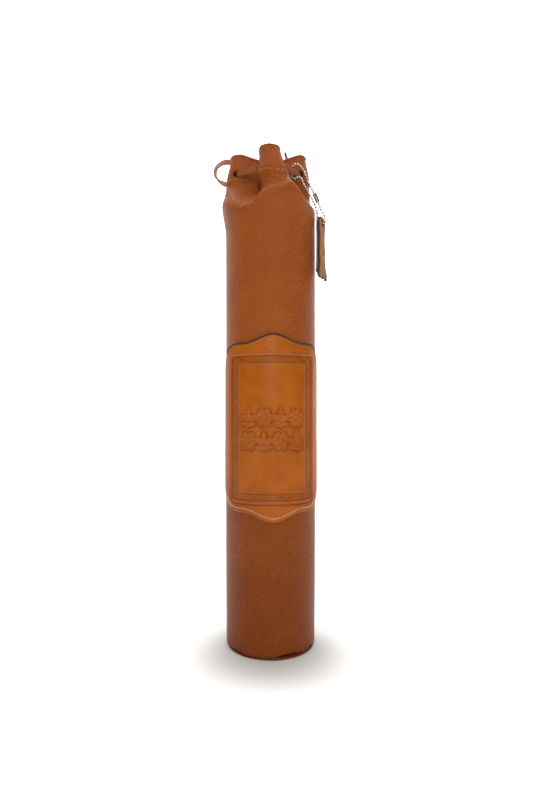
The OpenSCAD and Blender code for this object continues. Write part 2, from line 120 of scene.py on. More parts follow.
def smooth_curve(before, points, after, per):
    """A Catmull-Rom curve: per steps from each point to the next, up to the first one after them."""
    points = np.array([*before, *points, *after], float)[:, None]
    p, q, r, s = points[:-3], points[1:-2], points[2:-1], points[3:]
    t = (np.arange(per) / per)[:, None]
    square, cube = 2 * p - 5 * q + 4 * r - s, 3 * q - p - 3 * r + s
    line = 0.5 * (2 * q + (r - p) * t + square * t**2 + cube * t**3)
    return np.vstack([line.reshape(-1, points.shape[-1]), r[-1]])


def open_curve(points, per):
    return smooth_curve(points[:1], points, points[-1:], per)


def running_length(line):
    return np.concatenate([[0], np.cumsum(np.linalg.norm(np.diff(line, axis=0), axis=1))])


def along(line, s):
    lengths = running_length(line)
    return np.stack([np.interp(s, lengths, line[:, a]) for a in range(line.shape[1])], axis=-1)


def round_point(azimuth, r):
    a = np.radians(azimuth)
    return np.stack([r * np.sin(a), -r * np.cos(a)], axis=-1)


def cylinder_point(azimuth, r, z):
    xy = round_point(azimuth, r)
    return np.stack([xy[..., 0], xy[..., 1], np.broadcast_to(z, xy[..., 0].shape)], axis=-1)


def wobble(*parts):
    """A smooth pseudo-random value from -1 to 1 out of a few (angle in radians, weight) pairs."""
    total = sum(w for _, w in parts)
    return sum(w * np.sin(a) for a, w in parts) / total


# ---------------------------------------------------------------- gathered neck

def local_point(azimuth, u, v):
    a = math.radians(azimuth)
    return [u * math.sin(a) + v * math.cos(a), -u * math.cos(a) + v * math.sin(a)]


def fold_side(k, side):
    a, c, w, valley = FOLD_AZIMUTH[k], FOLD_CREST[k], FOLD_HALF[k], VALLEY_R / math.sqrt(2)
    return [
        local_point(a, c - 3, side * 0.82 * w),
        local_point(a, (c + valley) / 2 + 1, side * w),
        local_point(a, valley + 2.6, side * (valley + 0.2)),
        local_point(a, valley, side * valley),
    ]


def gather_table():
    points = []
    for k in range(4):
        points.append(local_point(FOLD_AZIMUTH[k], FOLD_CREST[k], 0))
        points += fold_side(k, 1)
        points += fold_side((k + 1) % 4, -1)[2::-1]
    per = 16
    line = smooth_curve(points[-1:], points, points[:2], per)
    lengths = running_length(line)
    quarter = 8 * per
    angles = np.zeros(len(line))
    for k in range(4):
        a, b = lengths[k * quarter], lengths[(k + 1) * quarter]
        part = slice(k * quarter, (k + 1) * quarter + 1)
        angles[part] = 90 * (k + (lengths[part] - a) / (b - a))
    return angles, line


GATHER_ANGLES, GATHER_LINE = gather_table()


def gathered(c):
    c = np.mod(c, 360)
    return np.stack([np.interp(c, GATHER_ANGLES, GATHER_LINE[:, a]) for a in (0, 1)], axis=-1)


# The folds turn this much further at the bottom of the neck than at the lace.
NECK_TWIST = 22.0
# Where the gather starts above NECK_Z, and how sharp its edge is, by azimuth.
START_AZIMUTH = [0, 13, 26, 38, 52, 90, 135, 180, 225, 262, 285, 305, 322, 337, 348, 360]
START_HEIGHT = [9.0, 12.5, 13.0, 8.0, 1.5, 1.0, 0.5, 0.5, 1.0, 4.0, 6.0, 0.5, -4.0, -1.5, 4.0, 9.0]
START_EDGE = [0.5, 0.45, 0.3, 0.2, 0.2, 0.2, 0.2, 0.2, 0.2, 0.2, 0.2, 0.15, 0.2, 0.35, 0.5, 0.5]

# Dents (negative) and ridges (positive) of the neck: from (c, h) to (c, h), half width, height.
NECK_DENTS = [
    ((-12.0, 310.0), (4.0, 315.0), 4.2, -2.3),
    ((-22.0, 301.0), (6.0, 311.0), 2.4, 0.7),
    ((-52.0, 309.0), (-34.0, 313.0), 4.0, -1.2),
    ((-86.0, 311.0), (-76.0, 315.0), 2.2, -0.6),
    ((-88.0, 305.0), (-74.0, 309.0), 2.0, -0.5),
    ((36.0, 304.0), (46.0, 314.0), 3.2, -1.0),
    ((62.0, 309.0), (84.0, 306.0), 3.0, -0.8),
    ((118.0, 306.0), (140.0, 311.0), 3.6, -1.2),
    ((160.0, 308.0), (196.0, 305.0), 3.0, 0.9),
    ((205.0, 304.0), (232.0, 312.0), 3.6, -1.3),
    ((255.0, 312.0), (285.0, 309.0), 4.0, 0.7),
]


def turn_from(angle, middle):
    """The angle from the middle one, from -180 to 180 degrees."""
    return (angle - middle + 180) % 360 - 180


def shoulder_swell(azimuth, z):
    """How far the shoulder bulges at the left front, on both sides of the start of the neck."""
    side = (0.5 + 0.5 * np.cos(np.radians(azimuth - 283))) ** 2
    return 2.7 * side * smooth((z - 280) / 23) * (1 - smooth((z - 304) / 15))


def segment_distance(c, h, a, b):
    """Distance in millimetres of leather from points (c, h) to a segment, and the share along it."""
    du = turn_from(c, a[0]) * DEGREE
    dv = h - a[1]
    su, sv = (b[0] - a[0]) * DEGREE, b[1] - a[1]
    t = np.clip((du * su + dv * sv) / (su * su + sv * sv), 0, 1)
    return np.hypot(du - t * su, dv - t * sv), t


def neck_relief(c, h):
    """How far the leather stands out from its smooth shape: dents, hem, stitch grooves and creases."""
    out = np.zeros(np.broadcast(c, h).shape)
    for a, b, width, height in NECK_DENTS:
        d, t = segment_distance(c, h, a, b)
        out = out + height * bell(d, width) * (0.75 + 0.25 * np.sin(math.pi * t))
    above = smooth((h - NECK_Z - 3) / 8)
    a = np.radians(c)
    upper, lower = HEM_UPPER_H, HEM_LOWER_H
    creases = wobble((9 * a + 0.23 * h, 1), (17 * a - 0.41 * h + 1.3, 0.8),
                     (31 * a + 0.9 * h + 0.4, 0.5))
    out = out + 0.22 * creases * above * (1 - 0.5 * smooth((h - lower) / 3))
    out = out - 0.42 * bell(h - lower, 0.6) + 0.38 * bell(h - lower + 1.7, 1.1)
    out = out - 0.42 * bell(h - upper, 0.6)
    out = out + 0.36 * smooth((h - upper - 0.4) / 0.6)
    puckers = np.sin(round(2 * math.pi * R_MID / STITCH_PITCH) * a)
    return out + 0.1 * puckers * (bell(h - lower + 1.7, 1.2) + 0.6 * bell(h - upper + 1.2, 0.9))


def front_flare(c, h):
    """How far the front fold's right side leans out to the right, more towards its foot."""
    turn = turn_from(c, 0)
    share = smooth(turn / 9) * (1 - smooth((turn - 22) / 28))
    return share * np.interp(h, [296, 306, 316, 323, 332, 337], [7.5, 7.5, 6.0, 3.8, 1.2, 0])


def leather_mid(c, h):
    """The middle of the sheet at angle c and height h of the leather, without dents or creases."""
    c, h = np.broadcast_arrays(np.asarray(c, float), np.asarray(h, float))
    azimuth = np.mod(c + NECK_TWIST, 360)
    start = np.interp(azimuth, START_AZIMUTH, START_HEIGHT)
    edge = np.interp(azimuth, START_AZIMUTH, START_EDGE)
    t = np.clip((h - NECK_Z - start) / (GATHER_END - start), 0, 1)
    w = (1 - edge) * smooth(t) + edge * (1 - (1 - t) ** 2)
    s = h - NECK_Z
    g = gathered(c)
    lean = 1 - RIM_LEAN * smooth((s - GATHER_END) / (NECK_LEN - GATHER_END))
    flat = round_point(azimuth, R_MID + shoulder_swell(azimuth, h))
    xy = flat * (1 - w)[..., None] + g * (w * lean)[..., None]
    xy[..., 0] += w * front_flare(c, h)
    sunk = 1 - np.clip((np.linalg.norm(g, axis=-1) - VALLEY_R) / (min(FOLD_CREST) - VALLEY_R), 0, 1)
    return np.concatenate([xy, (h - VALLEY_DROP * w * sunk)[..., None]], axis=-1)


def normal_of(surface, c, h):
    """The outward direction of a surface, and its upward one."""
    across = surface(c + 0.5, h) - surface(c - 0.5, h)
    upward = surface(c, h + 0.3) - surface(c, h - 0.3)
    return unit(np.cross(across, upward)), unit(upward)


def leather_face(c, h):
    """The middle of the leather with its dents and creases."""
    n, _ = normal_of(leather_mid, c, h)
    return leather_mid(c, h) + n * neck_relief(c, h)[..., None]


def leather(c, h, out):
    """Points at a distance out from the middle of the leather."""
    n, _ = normal_of(leather_face, c, h)
    return leather_face(c, h) + n * np.asarray(out, float)[..., None]


def hole_angle(k):
    """The leather angle of lace hole k: two holes on each fold, one on each side of its crest."""
    return 90 * ((k + 1) // 2) + (1 if k % 2 == 0 else -1) * HOLE_OFF_CREST


HOLES = [leather_mid(hole_angle(k), HOLE_H) for k in range(8)]


# ---------------------------------------------------------------- meshes

MERGE_DISTANCE = 0.004


def new_object(name, verts, faces, materials, indices=None):
    """A mesh object from millimetre points. materials are names in MATERIAL, and indices gives
    each face's material."""
    mesh = bpy.data.meshes.new(name)
    mesh.from_pydata((np.asarray(verts, float) * MM).tolist(), [], [list(map(int, f)) for f in faces])
    for key in materials:
        mesh.materials.append(MATERIAL[key])
    if indices is not None:
        mesh.polygons.foreach_set("material_index", np.asarray(indices, np.int32))
    mesh.polygons.foreach_set("use_smooth", [True] * len(mesh.polygons))
    mesh.update()
    obj = bpy.data.objects.new(name, mesh)
    bpy.context.scene.collection.objects.link(obj)
    return obj


def merge_close(obj):
    """Joins points that meet, and drops the faces that this leaves without an area."""
    bm = bmesh.new()
    bm.from_mesh(obj.data)
    bmesh.ops.remove_doubles(bm, verts=bm.verts, dist=MERGE_DISTANCE * MM)
    bmesh.ops.dissolve_degenerate(bm, edges=bm.edges, dist=1e-7)
    bm.to_mesh(obj.data)
    bm.free()


def shell(name, outer, inner, keep, wrap, materials, rim=None):
    """A closed sheet between two grids of points. keep says which cells are there, and walls close
    every edge. Materials are outer, inner and edge. rim is the number of top rows where both grids
    roll together."""
    rows, cols = outer.shape[:2]
    cells = cols if wrap else cols - 1
    index = np.arange(rows * cols).reshape(rows, cols)
    step = np.roll(index, -1, axis=1) if wrap else np.hstack([index[:, 1:], index[:, -1:]])
    a, b = index[:-1, :cells], step[:-1, :cells]
    d, c = index[1:, :cells], step[1:, :cells]
    n = rows * cols
    faces, slots = [], []

    def add(quads, slot):
        faces.append(quads)
        slots.append(np.full(len(quads), slot))

    k = keep
    add(np.stack([a[k], b[k], c[k], d[k]], 1), 0)
    add(np.stack([a[k], d[k], c[k], b[k]], 1) + n, 1)
    # A border of empty cells all round, or of the cells from the other side where the sheet closes.
    framed = np.pad(np.pad(k, ((1, 1), (0, 0))), ((0, 0), (1, 1)), mode="wrap" if wrap else "constant")
    below, over = framed[:-2, 1:-1], framed[2:, 1:-1]
    left, right = framed[1:-1, :-2], framed[1:-1, 2:]
    for mask, p, q in ((k & ~below, b, a), (k & ~right, c, b), (k & ~over, d, c), (k & ~left, a, d)):
        p, q = p[mask], q[mask]
        add(np.stack([p, q, q + n, p + n], 1), 2)
    faces, slots = np.vstack(faces), np.concatenate(slots)
    if rim:
        # The rolled rim is covered with the outer material all round.
        first = faces[:, 0] % n // cols
        slots = np.where((first >= rows - 1 - rim) & (slots != 0), 0, slots)
    verts = np.vstack([outer.reshape(-1, 3), inner.reshape(-1, 3)])
    obj = new_object(name, verts, faces, materials, slots)
    merge_close(obj)
    return obj


def skin_faces(rings, sides, closed_ends=True):
    faces = []
    for start in range(0, (rings - 1) * sides, sides):
        for i in range(sides):
            after = (i + 1) % sides
            faces.append((start + i, start + after, start + sides + after, start + sides + i))
    if closed_ends:
        faces.append(tuple(reversed(range(sides))))
        faces.append(tuple((rings - 1) * sides + i for i in range(sides)))
    return faces


def strap_section(w, t):
    """Points round a flat strap's rounded section: first the face side (+t), then the flesh side."""
    corner = 0.42 * t
    half_w, half_t = w / 2, t / 2
    points = []
    for cx, cy, start in ((1, 1, 0), (-1, 1, 90), (-1, -1, 180), (1, -1, 270)):
        for step in range(4):
            a = math.radians(start + 30 * step)
            points.append([cx * (half_w - corner) + corner * math.cos(a),
                           cy * (half_t - corner) + corner * math.sin(a)])
        if cy > 0 and cx > 0 or cy < 0 and cx < 0:
            span = np.linspace(1, -1, 8)[1:-1] * cx
            points += [[s * (half_w - corner), cy * half_t] for s in span]
    return np.array(points)


def strap(name, route, widths, w, t, materials, spacing=0.8, uneven=0.06):
    """A flat leather strap along a route. widths are the directions of its width at the route's
    points. Materials are face side and flesh side."""
    line, wide = open_curve(route, 12), open_curve(widths, 12)
    lengths = running_length(line)
    count = max(4, int(round(lengths[-1] / spacing)))
    s = np.linspace(0, lengths[-1], count)
    centre = along(line, s)
    wide = np.stack([np.interp(s, lengths, wide[:, a]) for a in range(3)], axis=-1)
    forward = unit(np.gradient(centre, axis=0))
    thin = unit(np.cross(forward, wide))
    broad = unit(np.cross(thin, forward))
    section = strap_section(w, t)
    sides = len(section)
    scale = 1 + uneven * wobble((s * 0.9, 1), (s * 0.37 + 2, 1.2), (s * 1.9 + 1, 0.5))
    verts = (centre[:, None, :]
             + broad[:, None, :] * (section[None, :, 0, None] * scale[:, None, None])
             + thin[:, None, :] * section[None, :, 1, None])
    faces = skin_faces(count, sides)
    under = section[:, 1] < -0.35 * t
    flesh = under & np.roll(under, -1)
    slots = flesh.astype(int).tolist() * (count - 1) + [1, 1]
    obj = new_object(name, verts.reshape(-1, 3), faces, materials, slots)
    return obj, centre


def stitches(name, starts, ends, normals, d, material, arch=0.35, sink=0.0):
    """Rows of short thread stitches, each a little arched and with its ends in the leather."""
    starts, ends, normals = (np.asarray(x, float) for x in (starts, ends, normals))
    rings, sides = 9, 8
    t = np.linspace(0, 1, rings)
    forward = unit(ends - starts)
    side = unit(np.cross(normals, forward))
    up = unit(np.cross(forward, side))
    radius = d / 2 * np.power(np.clip(1 - np.power(np.abs(2 * t - 1), 3.2), 0.02, 1), 0.5)
    lift = d * arch * (1 - np.square(2 * t - 1)) - sink
    centre = (starts[:, None] + (ends - starts)[:, None] * t[None, :, None]
              + up[:, None] * lift[None, :, None])
    a = np.radians(np.arange(sides) * 360 / sides)
    around = (side[:, None, None] * np.cos(a)[None, None, :, None]
              + up[:, None, None] * np.sin(a)[None, None, :, None])
    verts = centre[:, :, None] + around * radius[None, :, None, None]
    one = np.array(skin_faces(rings, sides, False))
    count = len(starts)
    faces = (one[None] + (np.arange(count) * rings * sides)[:, None, None]).reshape(-1, 4).tolist()
    for k in range(count):
        base = k * rings * sides
        faces.append([base + i for i in reversed(range(sides))])
        faces.append([base + (rings - 1) * sides + i for i in range(sides)])
    return new_object(name, verts.reshape(-1, 3), faces, [material])


def stitch_spans(count, total, gap=0.18):
    """Where each of the stitches of a line starts and ends, with a gap at both of its ends."""
    k = np.arange(count)
    return total * (k + gap) / count, total * (k + 1 - gap) / count


def dress(obj, body, slot, *nodes):
    """Puts a finished piece on its body, and hides the CAD nodes that it stands for.
    slot, the name of its slot, is not used.
    """
    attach(obj, body)
    if nodes:
        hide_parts(*nodes)


# ---------------------------------------------------------------- materials

class Nodes:
    """Short names for building one material's node tree."""

    def __init__(self, name):
        self.material = bpy.data.materials.new(name)
        self.material.use_nodes = True
        self.tree = self.material.node_tree
        self.shader = self.tree.nodes["Principled BSDF"]

    def add(self, kind, inputs=(), **settings):
        node = self.tree.nodes.new(kind)
        for key, value in settings.items():
            setattr(node, key, value)
        for key, value in dict(inputs).items():
            if isinstance(value, bpy.types.NodeSocket):
                self.tree.links.new(value, node.inputs[key])
            else:
                node.inputs[key].default_value = value
        return node

    def set(self, **values):
        for key, value in values.items():
            socket = self.shader.inputs[key.replace("_", " ")]
            if isinstance(value, bpy.types.NodeSocket):
                self.tree.links.new(value, socket)
            else:
                socket.default_value = value

    def position(self, stretch=(1, 1, 1)):
        coords = self.add("ShaderNodeTexCoord").outputs["Object"]
        return self.add("ShaderNodeMapping", {"Vector": coords, "Scale": stretch}).outputs[0]

    def noise(self, where, size, detail=3.0, roughness=0.55, distortion=0.0):
        """Noise with features of about the given size in millimetres."""
        inputs = {"Vector": where, "Scale": 1 / (size * MM), "Detail": detail,
                  "Roughness": roughness, "Distortion": distortion}
        return self.add("ShaderNodeTexNoise", inputs).outputs["Fac"]

    def cells(self, where, size, smoothness):
        """Distance from the middle of soft cells of about the given size in millimetres."""
        inputs = {"Vector": where, "Scale": 1 / (size * MM), "Smoothness": smoothness}
        return self.add("ShaderNodeTexVoronoi", inputs, feature="SMOOTH_F1").outputs["Distance"]

    def ramp(self, value, low, high, low_to=0.0, high_to=1.0):
        inputs = {"Value": value, "From Min": low, "From Max": high, "To Min": low_to, "To Max": high_to}
        return self.add("ShaderNodeMapRange", inputs, interpolation_type="SMOOTHSTEP").outputs[0]

    def mix(self, share, a, b):
        """A colour between a and b."""
        return self.add("ShaderNodeMix", {0: share, 6: a, 7: b}, data_type="RGBA").outputs[2]

    def maths(self, operation, *values):
        return self.add("ShaderNodeMath", dict(enumerate(values)), operation=operation).outputs[0]

    def bump(self, height, distance, strength=1.0, normal=None):
        inputs = {"Height": height, "Distance": distance * MM, "Strength": strength}
        if normal is not None:
            inputs["Normal"] = normal
        return self.add("ShaderNodeBump", inputs).outputs[0]

    def attribute(self, name):
        return self.add("ShaderNodeAttribute", attribute_name=name).outputs["Fac"]


def colours(*tones):
    """Colours given as 0-255 display values, as the shader's linear values."""
    def linear(v):
        v /= 255
        return v / 12.92 if v <= 0.04045 else ((v + 0.055) / 1.055) ** 2.4
    return [(*map(linear, tone), 1) for tone in tones]


def grained_leather(name, dark, middle, light, pebble=1.02, depth=0.42, low=0.0):
    """Pebbled leather: domed grain, with painted shade in its creases and a painted highlight on its
    crests. low is how much painted shade darkens it towards the base."""
    dark, middle, light = colours(dark, middle, light)
    m = Nodes(name)
    where = m.position((0.85, 0.85, 1.3))
    shift = {"Fac": 0.0022, "Color1": where, "Color2": m.noise(where, 3.0, 2)}
    moved = m.add("ShaderNodeMixRGB", shift, blend_type="ADD").outputs[0]
    pebbles = m.cells(moved, pebble, 0.35)
    small = m.cells(moved, pebble * 0.52, 0.5)
    fine = m.noise(where, 0.25, 2)
    broad = m.noise(where, 45, 2, 0.5)
    patches = m.noise(where, 9, 3, 0.55)
    tone = m.mix(m.ramp(broad, 0.35, 0.66, 0.3, 0.55), middle, light)
    tone = m.mix(m.ramp(patches, 0.45, 0.75, 0, 0.05), tone, dark)
    # Painted shade in the creases between the pebbles, and a painted highlight on their crests.
    tone = m.mix(m.ramp(pebbles, 0.35, 0.75, 0, 0.28), tone, dark)
    tone = m.mix(m.ramp(pebbles, 0.3, 0.05, 0, 0.38), tone, light)
    # Painted shade, as from light above: darker towards the base, by up to low.
    level = m.add("ShaderNodeSeparateXYZ", {"Vector": m.position()}).outputs["Z"]
    tone = m.mix(m.ramp(level, 0.17, 0.03, 0, low), tone, dark)
    m.set(Base_Color=tone, Roughness=m.ramp(fine, 0.3, 0.75, 0.33, 0.45), Specular_IOR_Level=0.17)
    domes = m.ramp(pebbles, 0.75, 0.05)
    height = m.maths("MULTIPLY_ADD", m.ramp(small, 0.7, 0.1), 0.35, domes)
    m.set(Normal=m.bump(fine, depth * 0.2, 0.5, m.bump(height, depth, 0.85)))
    return m.material


def suede(name, dark, light, fibre):
    dark, light = colours(dark, light)
    m = Nodes(name)
    where = m.position()
    fuzz = m.noise(where, fibre, 4, 0.7, 0.6)
    broad = m.noise(where, 5, 3, 0.6)
    tone = m.mix(m.ramp(fuzz, 0.3, 0.72), dark, light)
    tone = m.mix(m.ramp(broad, 0.4, 0.75, 0, 0.4), tone, dark)
    m.set(Base_Color=tone, Roughness=0.92, Specular_IOR_Level=0.15)
    m.set(Sheen_Weight=0.1, Sheen_Roughness=0.5, Normal=m.bump(fuzz, 0.25, 0.8))
    return m.material


def smooth_leather(name, dark, middle, light):
    """Vegetable-tanned leather: smooth, a little glossy, and darker where it was pressed in: partly the
    burnish of the tooling, partly painted shade in the grooves.
    """
    dark, middle, light = colours(dark, middle, light)
    m = Nodes(name)
    where = m.position()
    broad = m.noise(where, 22, 3, 0.55, 0.4)
    mottle = m.noise(where, 3.4, 4, 0.6)
    pores = m.noise(where, 0.22, 2)
    pressed_and_shade = m.attribute("pressed_and_shade")
    tone = m.mix(m.ramp(broad, 0.36, 0.66), middle, light)
    tone = m.mix(m.ramp(mottle, 0.5, 0.8, 0, 0.16), tone, dark)
    # Painted shade in the pressed grooves, together with the darker burnish of the tooling.
    tone = m.mix(m.ramp(pressed_and_shade, 0.0, 1.0, 0, 0.9), tone, dark)
    gloss = m.maths("ADD", m.ramp(mottle, 0.3, 0.7, 0.3, 0.4), m.ramp(pressed_and_shade, 0, 1, 0, 0.12))
    m.set(Base_Color=tone, Roughness=gloss, Specular_IOR_Level=0.22)
    m.set(Normal=m.bump(pores, 0.05, 0.6, m.bump(mottle, 0.04, 0.5)))
    return m.material


def thread(name, tone, shadow):
    tone, shadow = colours(tone, shadow)
    m = Nodes(name)
    ply = m.noise(m.position(), 0.18, 3, 0.6)
    m.set(Base_Color=m.mix(m.ramp(ply, 0.3, 0.7), shadow, tone), Roughness=0.7, Sheen_Weight=0.2)
    m.set(Normal=m.bump(ply, 0.06, 0.7))
    return m.material


def card_board(name, dark, light, roughness=0.85, fleck=0.6):
    dark, light = colours(dark, light)
    m = Nodes(name)
    where = m.position((1, 1, 0.4))
    fibres = m.noise(where, fleck, 5, 0.65)
    broad = m.noise(m.position(), 12, 3)
    tone = m.mix(m.ramp(fibres, 0.3, 0.75), dark, light)
    m.set(Base_Color=m.mix(m.ramp(broad, 0.4, 0.8, 0, 0.25), tone, dark), Roughness=roughness)
    m.set(Normal=m.bump(fibres, 0.05, 0.6))
    return m.material


def nickel(name, clean, dull):
    clean, dull = colours(clean, dull)
    m = Nodes(name)
    tarnish = m.noise(m.position(), 1.6, 4, 0.6)
    scratches = m.noise(m.position((1, 1, 0.15)), 0.12, 3)
    m.set(Base_Color=m.mix(m.ramp(tarnish, 0.4, 0.75), clean, dull), Metallic=1.0)
    m.set(Roughness=m.ramp(scratches, 0.3, 0.8, 0.16, 0.32), Normal=m.bump(scratches, 0.01, 0.3))
    return m.material


MATERIAL = {
    "sleeve": grained_leather("sleeve_leather", (86, 32, 0), (138, 61, 0), (168, 88, 18), low=0.4),
    "lace": grained_leather("lace_leather", (78, 36, 14), (132, 70, 32), (150, 86, 46), 0.7, 0.05),
    "base": grained_leather("base_leather", (60, 24, 8), (104, 46, 16), (124, 58, 22), 0.9, 0.1),
    "edge": suede("raw_edge", (70, 34, 14), (132, 78, 40), 0.3),
    "flesh": suede("flesh_side", (120, 80, 42), (196, 150, 96), 0.4),
    "lining": suede("facing_suede", (70, 38, 20), (120, 74, 42), 0.4),
    "patch": smooth_leather("patch_leather", (100, 42, 0), (154, 76, 2), (166, 86, 8)),
    # Dark edge paint along the patch's top, and painted shadow where that edge stands off the sleeve.
    "patch_edge": grained_leather("patch_top_paint_and_shadow", (10, 6, 4), (28, 14, 10), (48, 26, 18), 0.5, 0.03),
    "patch_rim": suede("patch_raw_edge", (104, 50, 16), (168, 92, 36), 0.25),
    "cream": thread("cream_thread", (232, 212, 178), (176, 146, 106)),
    "tan_thread": thread("tan_thread", (208, 158, 108), (126, 78, 42)),
    "brown_thread": thread("brown_thread", (196, 124, 56), (128, 70, 20)),
    "black": thread("dark_thread", (34, 20, 16), (14, 8, 7)),
    "tag": suede("tag_suede", (98, 58, 24), (176, 118, 62), 0.5),
    # The grain side's colour, also put on the tag's cut edges as painted shade.
    "tag_back_and_edge_shade": grained_leather("tag_grain_and_edge_shade", (40, 20, 10), (70, 36, 18), (92, 52, 28), 0.8, 0.06),
    "white": card_board("white_card", (206, 204, 200), (232, 231, 228), 0.45, 0.4),
    "tube": card_board("tube_card", (140, 112, 78), (186, 158, 118)),
    "board": card_board("base_card", (120, 96, 68), (168, 142, 106)),
    "metal": nickel("nickel_plate", (196, 195, 192), (150, 147, 142)),
}


# ---------------------------------------------------------------- camera, light and floor

def make_camera():
    data = bpy.data.cameras.new("camera")
    data.sensor_width = 36
    data.lens = 25.65
    data.clip_start, data.clip_end = 0.01, 20
    camera = bpy.data.objects.new("camera", data)
    camera.location = (-0.0028, -0.397, 0.168)
    camera.rotation_euler = (math.radians(90), 0, 0)
    bpy.context.scene.collection.objects.link(camera)
    bpy.context.scene.camera = camera


def area_light(name, place, target, size, power):
    data = bpy.data.lights.new(name, "AREA")
    data.shape = "RECTANGLE"
    data.size, data.size_y = size
    data.energy = power
    light = bpy.data.objects.new(name, data)
    light.location = place
    light.rotation_euler = (Vector(target) - Vector(place)).to_track_quat("-Z", "Y").to_euler()
    bpy.context.scene.collection.objects.link(light)


def make_studio():
    """A white paper floor and backdrops under one wide soft light, with a weaker one in front."""
    world = bpy.data.worlds.new("studio")
    bpy.context.scene.world = world
    world.use_nodes = True
    background = world.node_tree.nodes["Background"]
    background.inputs[0].default_value = (1, 1, 1, 1)
    background.inputs[1].default_value = 0.06
    area_light("overhead", (0.0, 0.1, 1.9), (0, 0.1, 0), (2.6, 2.6), 49)
    area_light("front", (0.05, -1.2, 0.8), (0, 0, 0.2), (0.3, 0.9), 9)
    bpy.context.scene.view_settings.view_transform = "Standard"
    m = Nodes("studio_paper")
    fibre = m.noise(m.position(), 4, 3)
    paper = m.mix(m.ramp(fibre, 0.3, 0.7), (0.88, 0.88, 0.88, 1), (0.9, 0.9, 0.9, 1))
    # A painted contact shadow: the paper is darker close round the base, a little more in front of it.
    shift = {0: m.position(), 1: (0, 0.014, 0)}
    place = m.add("ShaderNodeVectorMath", shift, operation="ADD").outputs[0]
    reach = m.add("ShaderNodeVectorMath", {0: place}, operation="LENGTH").outputs["Value"]
    m.set(Base_Color=m.mix(m.ramp(reach, 0.024, 0.066), (0.52, 0.5, 0.47, 1), paper), Roughness=0.9)
    # Far from the light the paper glows, so that it meets the backdrops without a dark band.
    m.set(Emission_Color=(1, 1, 1, 1), Emission_Strength=m.ramp(reach, 1.2, 3.0, 0, 0.8))
    MATERIAL["paper"] = m.material
    corners = [(-4000, 2000), (4000, 2000), (4000, -3000), (-4000, -3000)]
    verts = [[*corner, 0] for corner in reversed(corners)]
    new_object("floor", verts, [[0, 1, 2, 3]], ["paper"])
    m = Nodes("backdrop_paper")
    fibre = m.noise(m.position(), 8, 2)
    glow = m.mix(m.ramp(fibre, 0.3, 0.7), (0.985, 0.985, 0.985, 1), (1, 1, 1, 1))
    m.set(Base_Color=(0.9, 0.9, 0.9, 1), Roughness=0.9, Emission_Color=glow, Emission_Strength=1.0)
    MATERIAL["backdrop"] = m.material
    for i, (a, b) in enumerate(zip(corners, corners[1:] + corners[:1])):
        verts = [[*a, 0], [*b, 0], [*b, 3600], [*a, 3600]]
        wall = new_object(f"backdrop_{i}", verts, [[0, 1, 2, 3]], ["backdrop"])
        # Only the wall behind the object lights it; the others are white paper to the camera alone.
        wall.visible_diffuse = i == 0
        wall.visible_glossy = i == 0


make_camera()


# ---------------------------------------------------------------- pull loop

LOOP_FROM, LOOP_TO = HOLES[4], HOLES[5]
LOOP_OUT = unit(np.array([-1.0, 1.0, 0.0]))
# The loop's points outside its two holes, and the direction of its width at each.
LOOP_POINTS = [
    [-14.5, 20, 327], [-18, 18, 332], [-23, 14.8, 336.5],
    [-28, 12.6, 338.6], [-34, 11.8, 338], [-38.6, 11.4, 334],
    [-39.2, 11.2, 328.6], [-36, 11.2, 324.4], [-31, 11.4, 322.4],
]
LOOP_WIDTHS = [
    [0, 0.1, 1], [0, 0.2, 1], [0, 0.3, 1],
    [0, 0.4, 0.9], [-0.2, 0.6, 0.8], [-0.4, 0.8, 0.5],
    [-0.3, 0.85, 0.4], [0, 0.8, 0.6], [0, 0.5, 0.9],
]


def make_pull_loop():
    inside = LACE_TRAVEL + 0.5
    steps = (-inside, -2, 2.4)
    route = [LOOP_FROM + LOOP_OUT * step for step in steps] + LOOP_POINTS
    route += [LOOP_TO + LOOP_OUT * step for step in reversed(steps)]
    widths = [UP] * 3 + LOOP_WIDTHS + [UP] * 3
    obj, centre = strap("pull_loop", route, widths, LACE_W, LACE_T, ["flesh", "lace"])
    dress(obj, "pull_loop", "lace_leather", "lace_pull_loop")


make_pull_loop()


# ---------------------------------------------------------------- sleeve

COLUMNS = 528
C_LINE = np.arange(COLUMNS) * 360 / COLUMNS
# Half width, half height and squareness of a lace hole.
HOLE_A, HOLE_B, HOLE_POWER = 2.4, 2.45, 2.6
# The gather takes over from the straight part of the sleeve over this height.
JOIN_H = 6
# How far inwards the turned-in leather lies behind the rim.
RIM_FOLD = 1.1
SEAM_AZIMUTH = 184.0
SEAM_LAP = 3.2


def punched_grid(rows):
    """Leather coordinates (c, h) for rows of the neck, and which cells stay round the lace holes."""
    c, h = np.meshgrid(C_LINE, rows)

    def hole_share(c, h, centre):
        u = turn_from(c, centre) * DEGREE
        v = h - HOLE_H
        powers = np.abs(u / HOLE_A) ** HOLE_POWER + np.abs(v / HOLE_B) ** HOLE_POWER
        return powers ** (1 / HOLE_POWER), u, v

    def corners_of(cells):
        corners = np.zeros(c.shape, bool)
        for shifted in (cells, np.roll(cells, 1, axis=1)):
            corners[:-1] |= shifted
            corners[1:] |= shifted
        return corners

    mid_c = c[:-1] + 180 / COLUMNS
    mid_h = (h[:-1] + h[1:]) / 2
    keep = np.ones(mid_c.shape, bool)
    for centre in map(hole_angle, range(8)):
        keep &= hole_share(mid_c, mid_h, centre)[0] >= 1
    border = corners_of(~keep) & corners_of(keep)
    for centre in map(hole_angle, range(8)):
        share, u, v = hole_share(c, h, centre)
        near = border & (share < 1.6)
        scale = 1 / np.maximum(share, 0.3)
        c = np.where(near, centre + u * scale / DEGREE, c)
        h = np.where(near, HOLE_H + v * scale, h)
    return c, h, keep


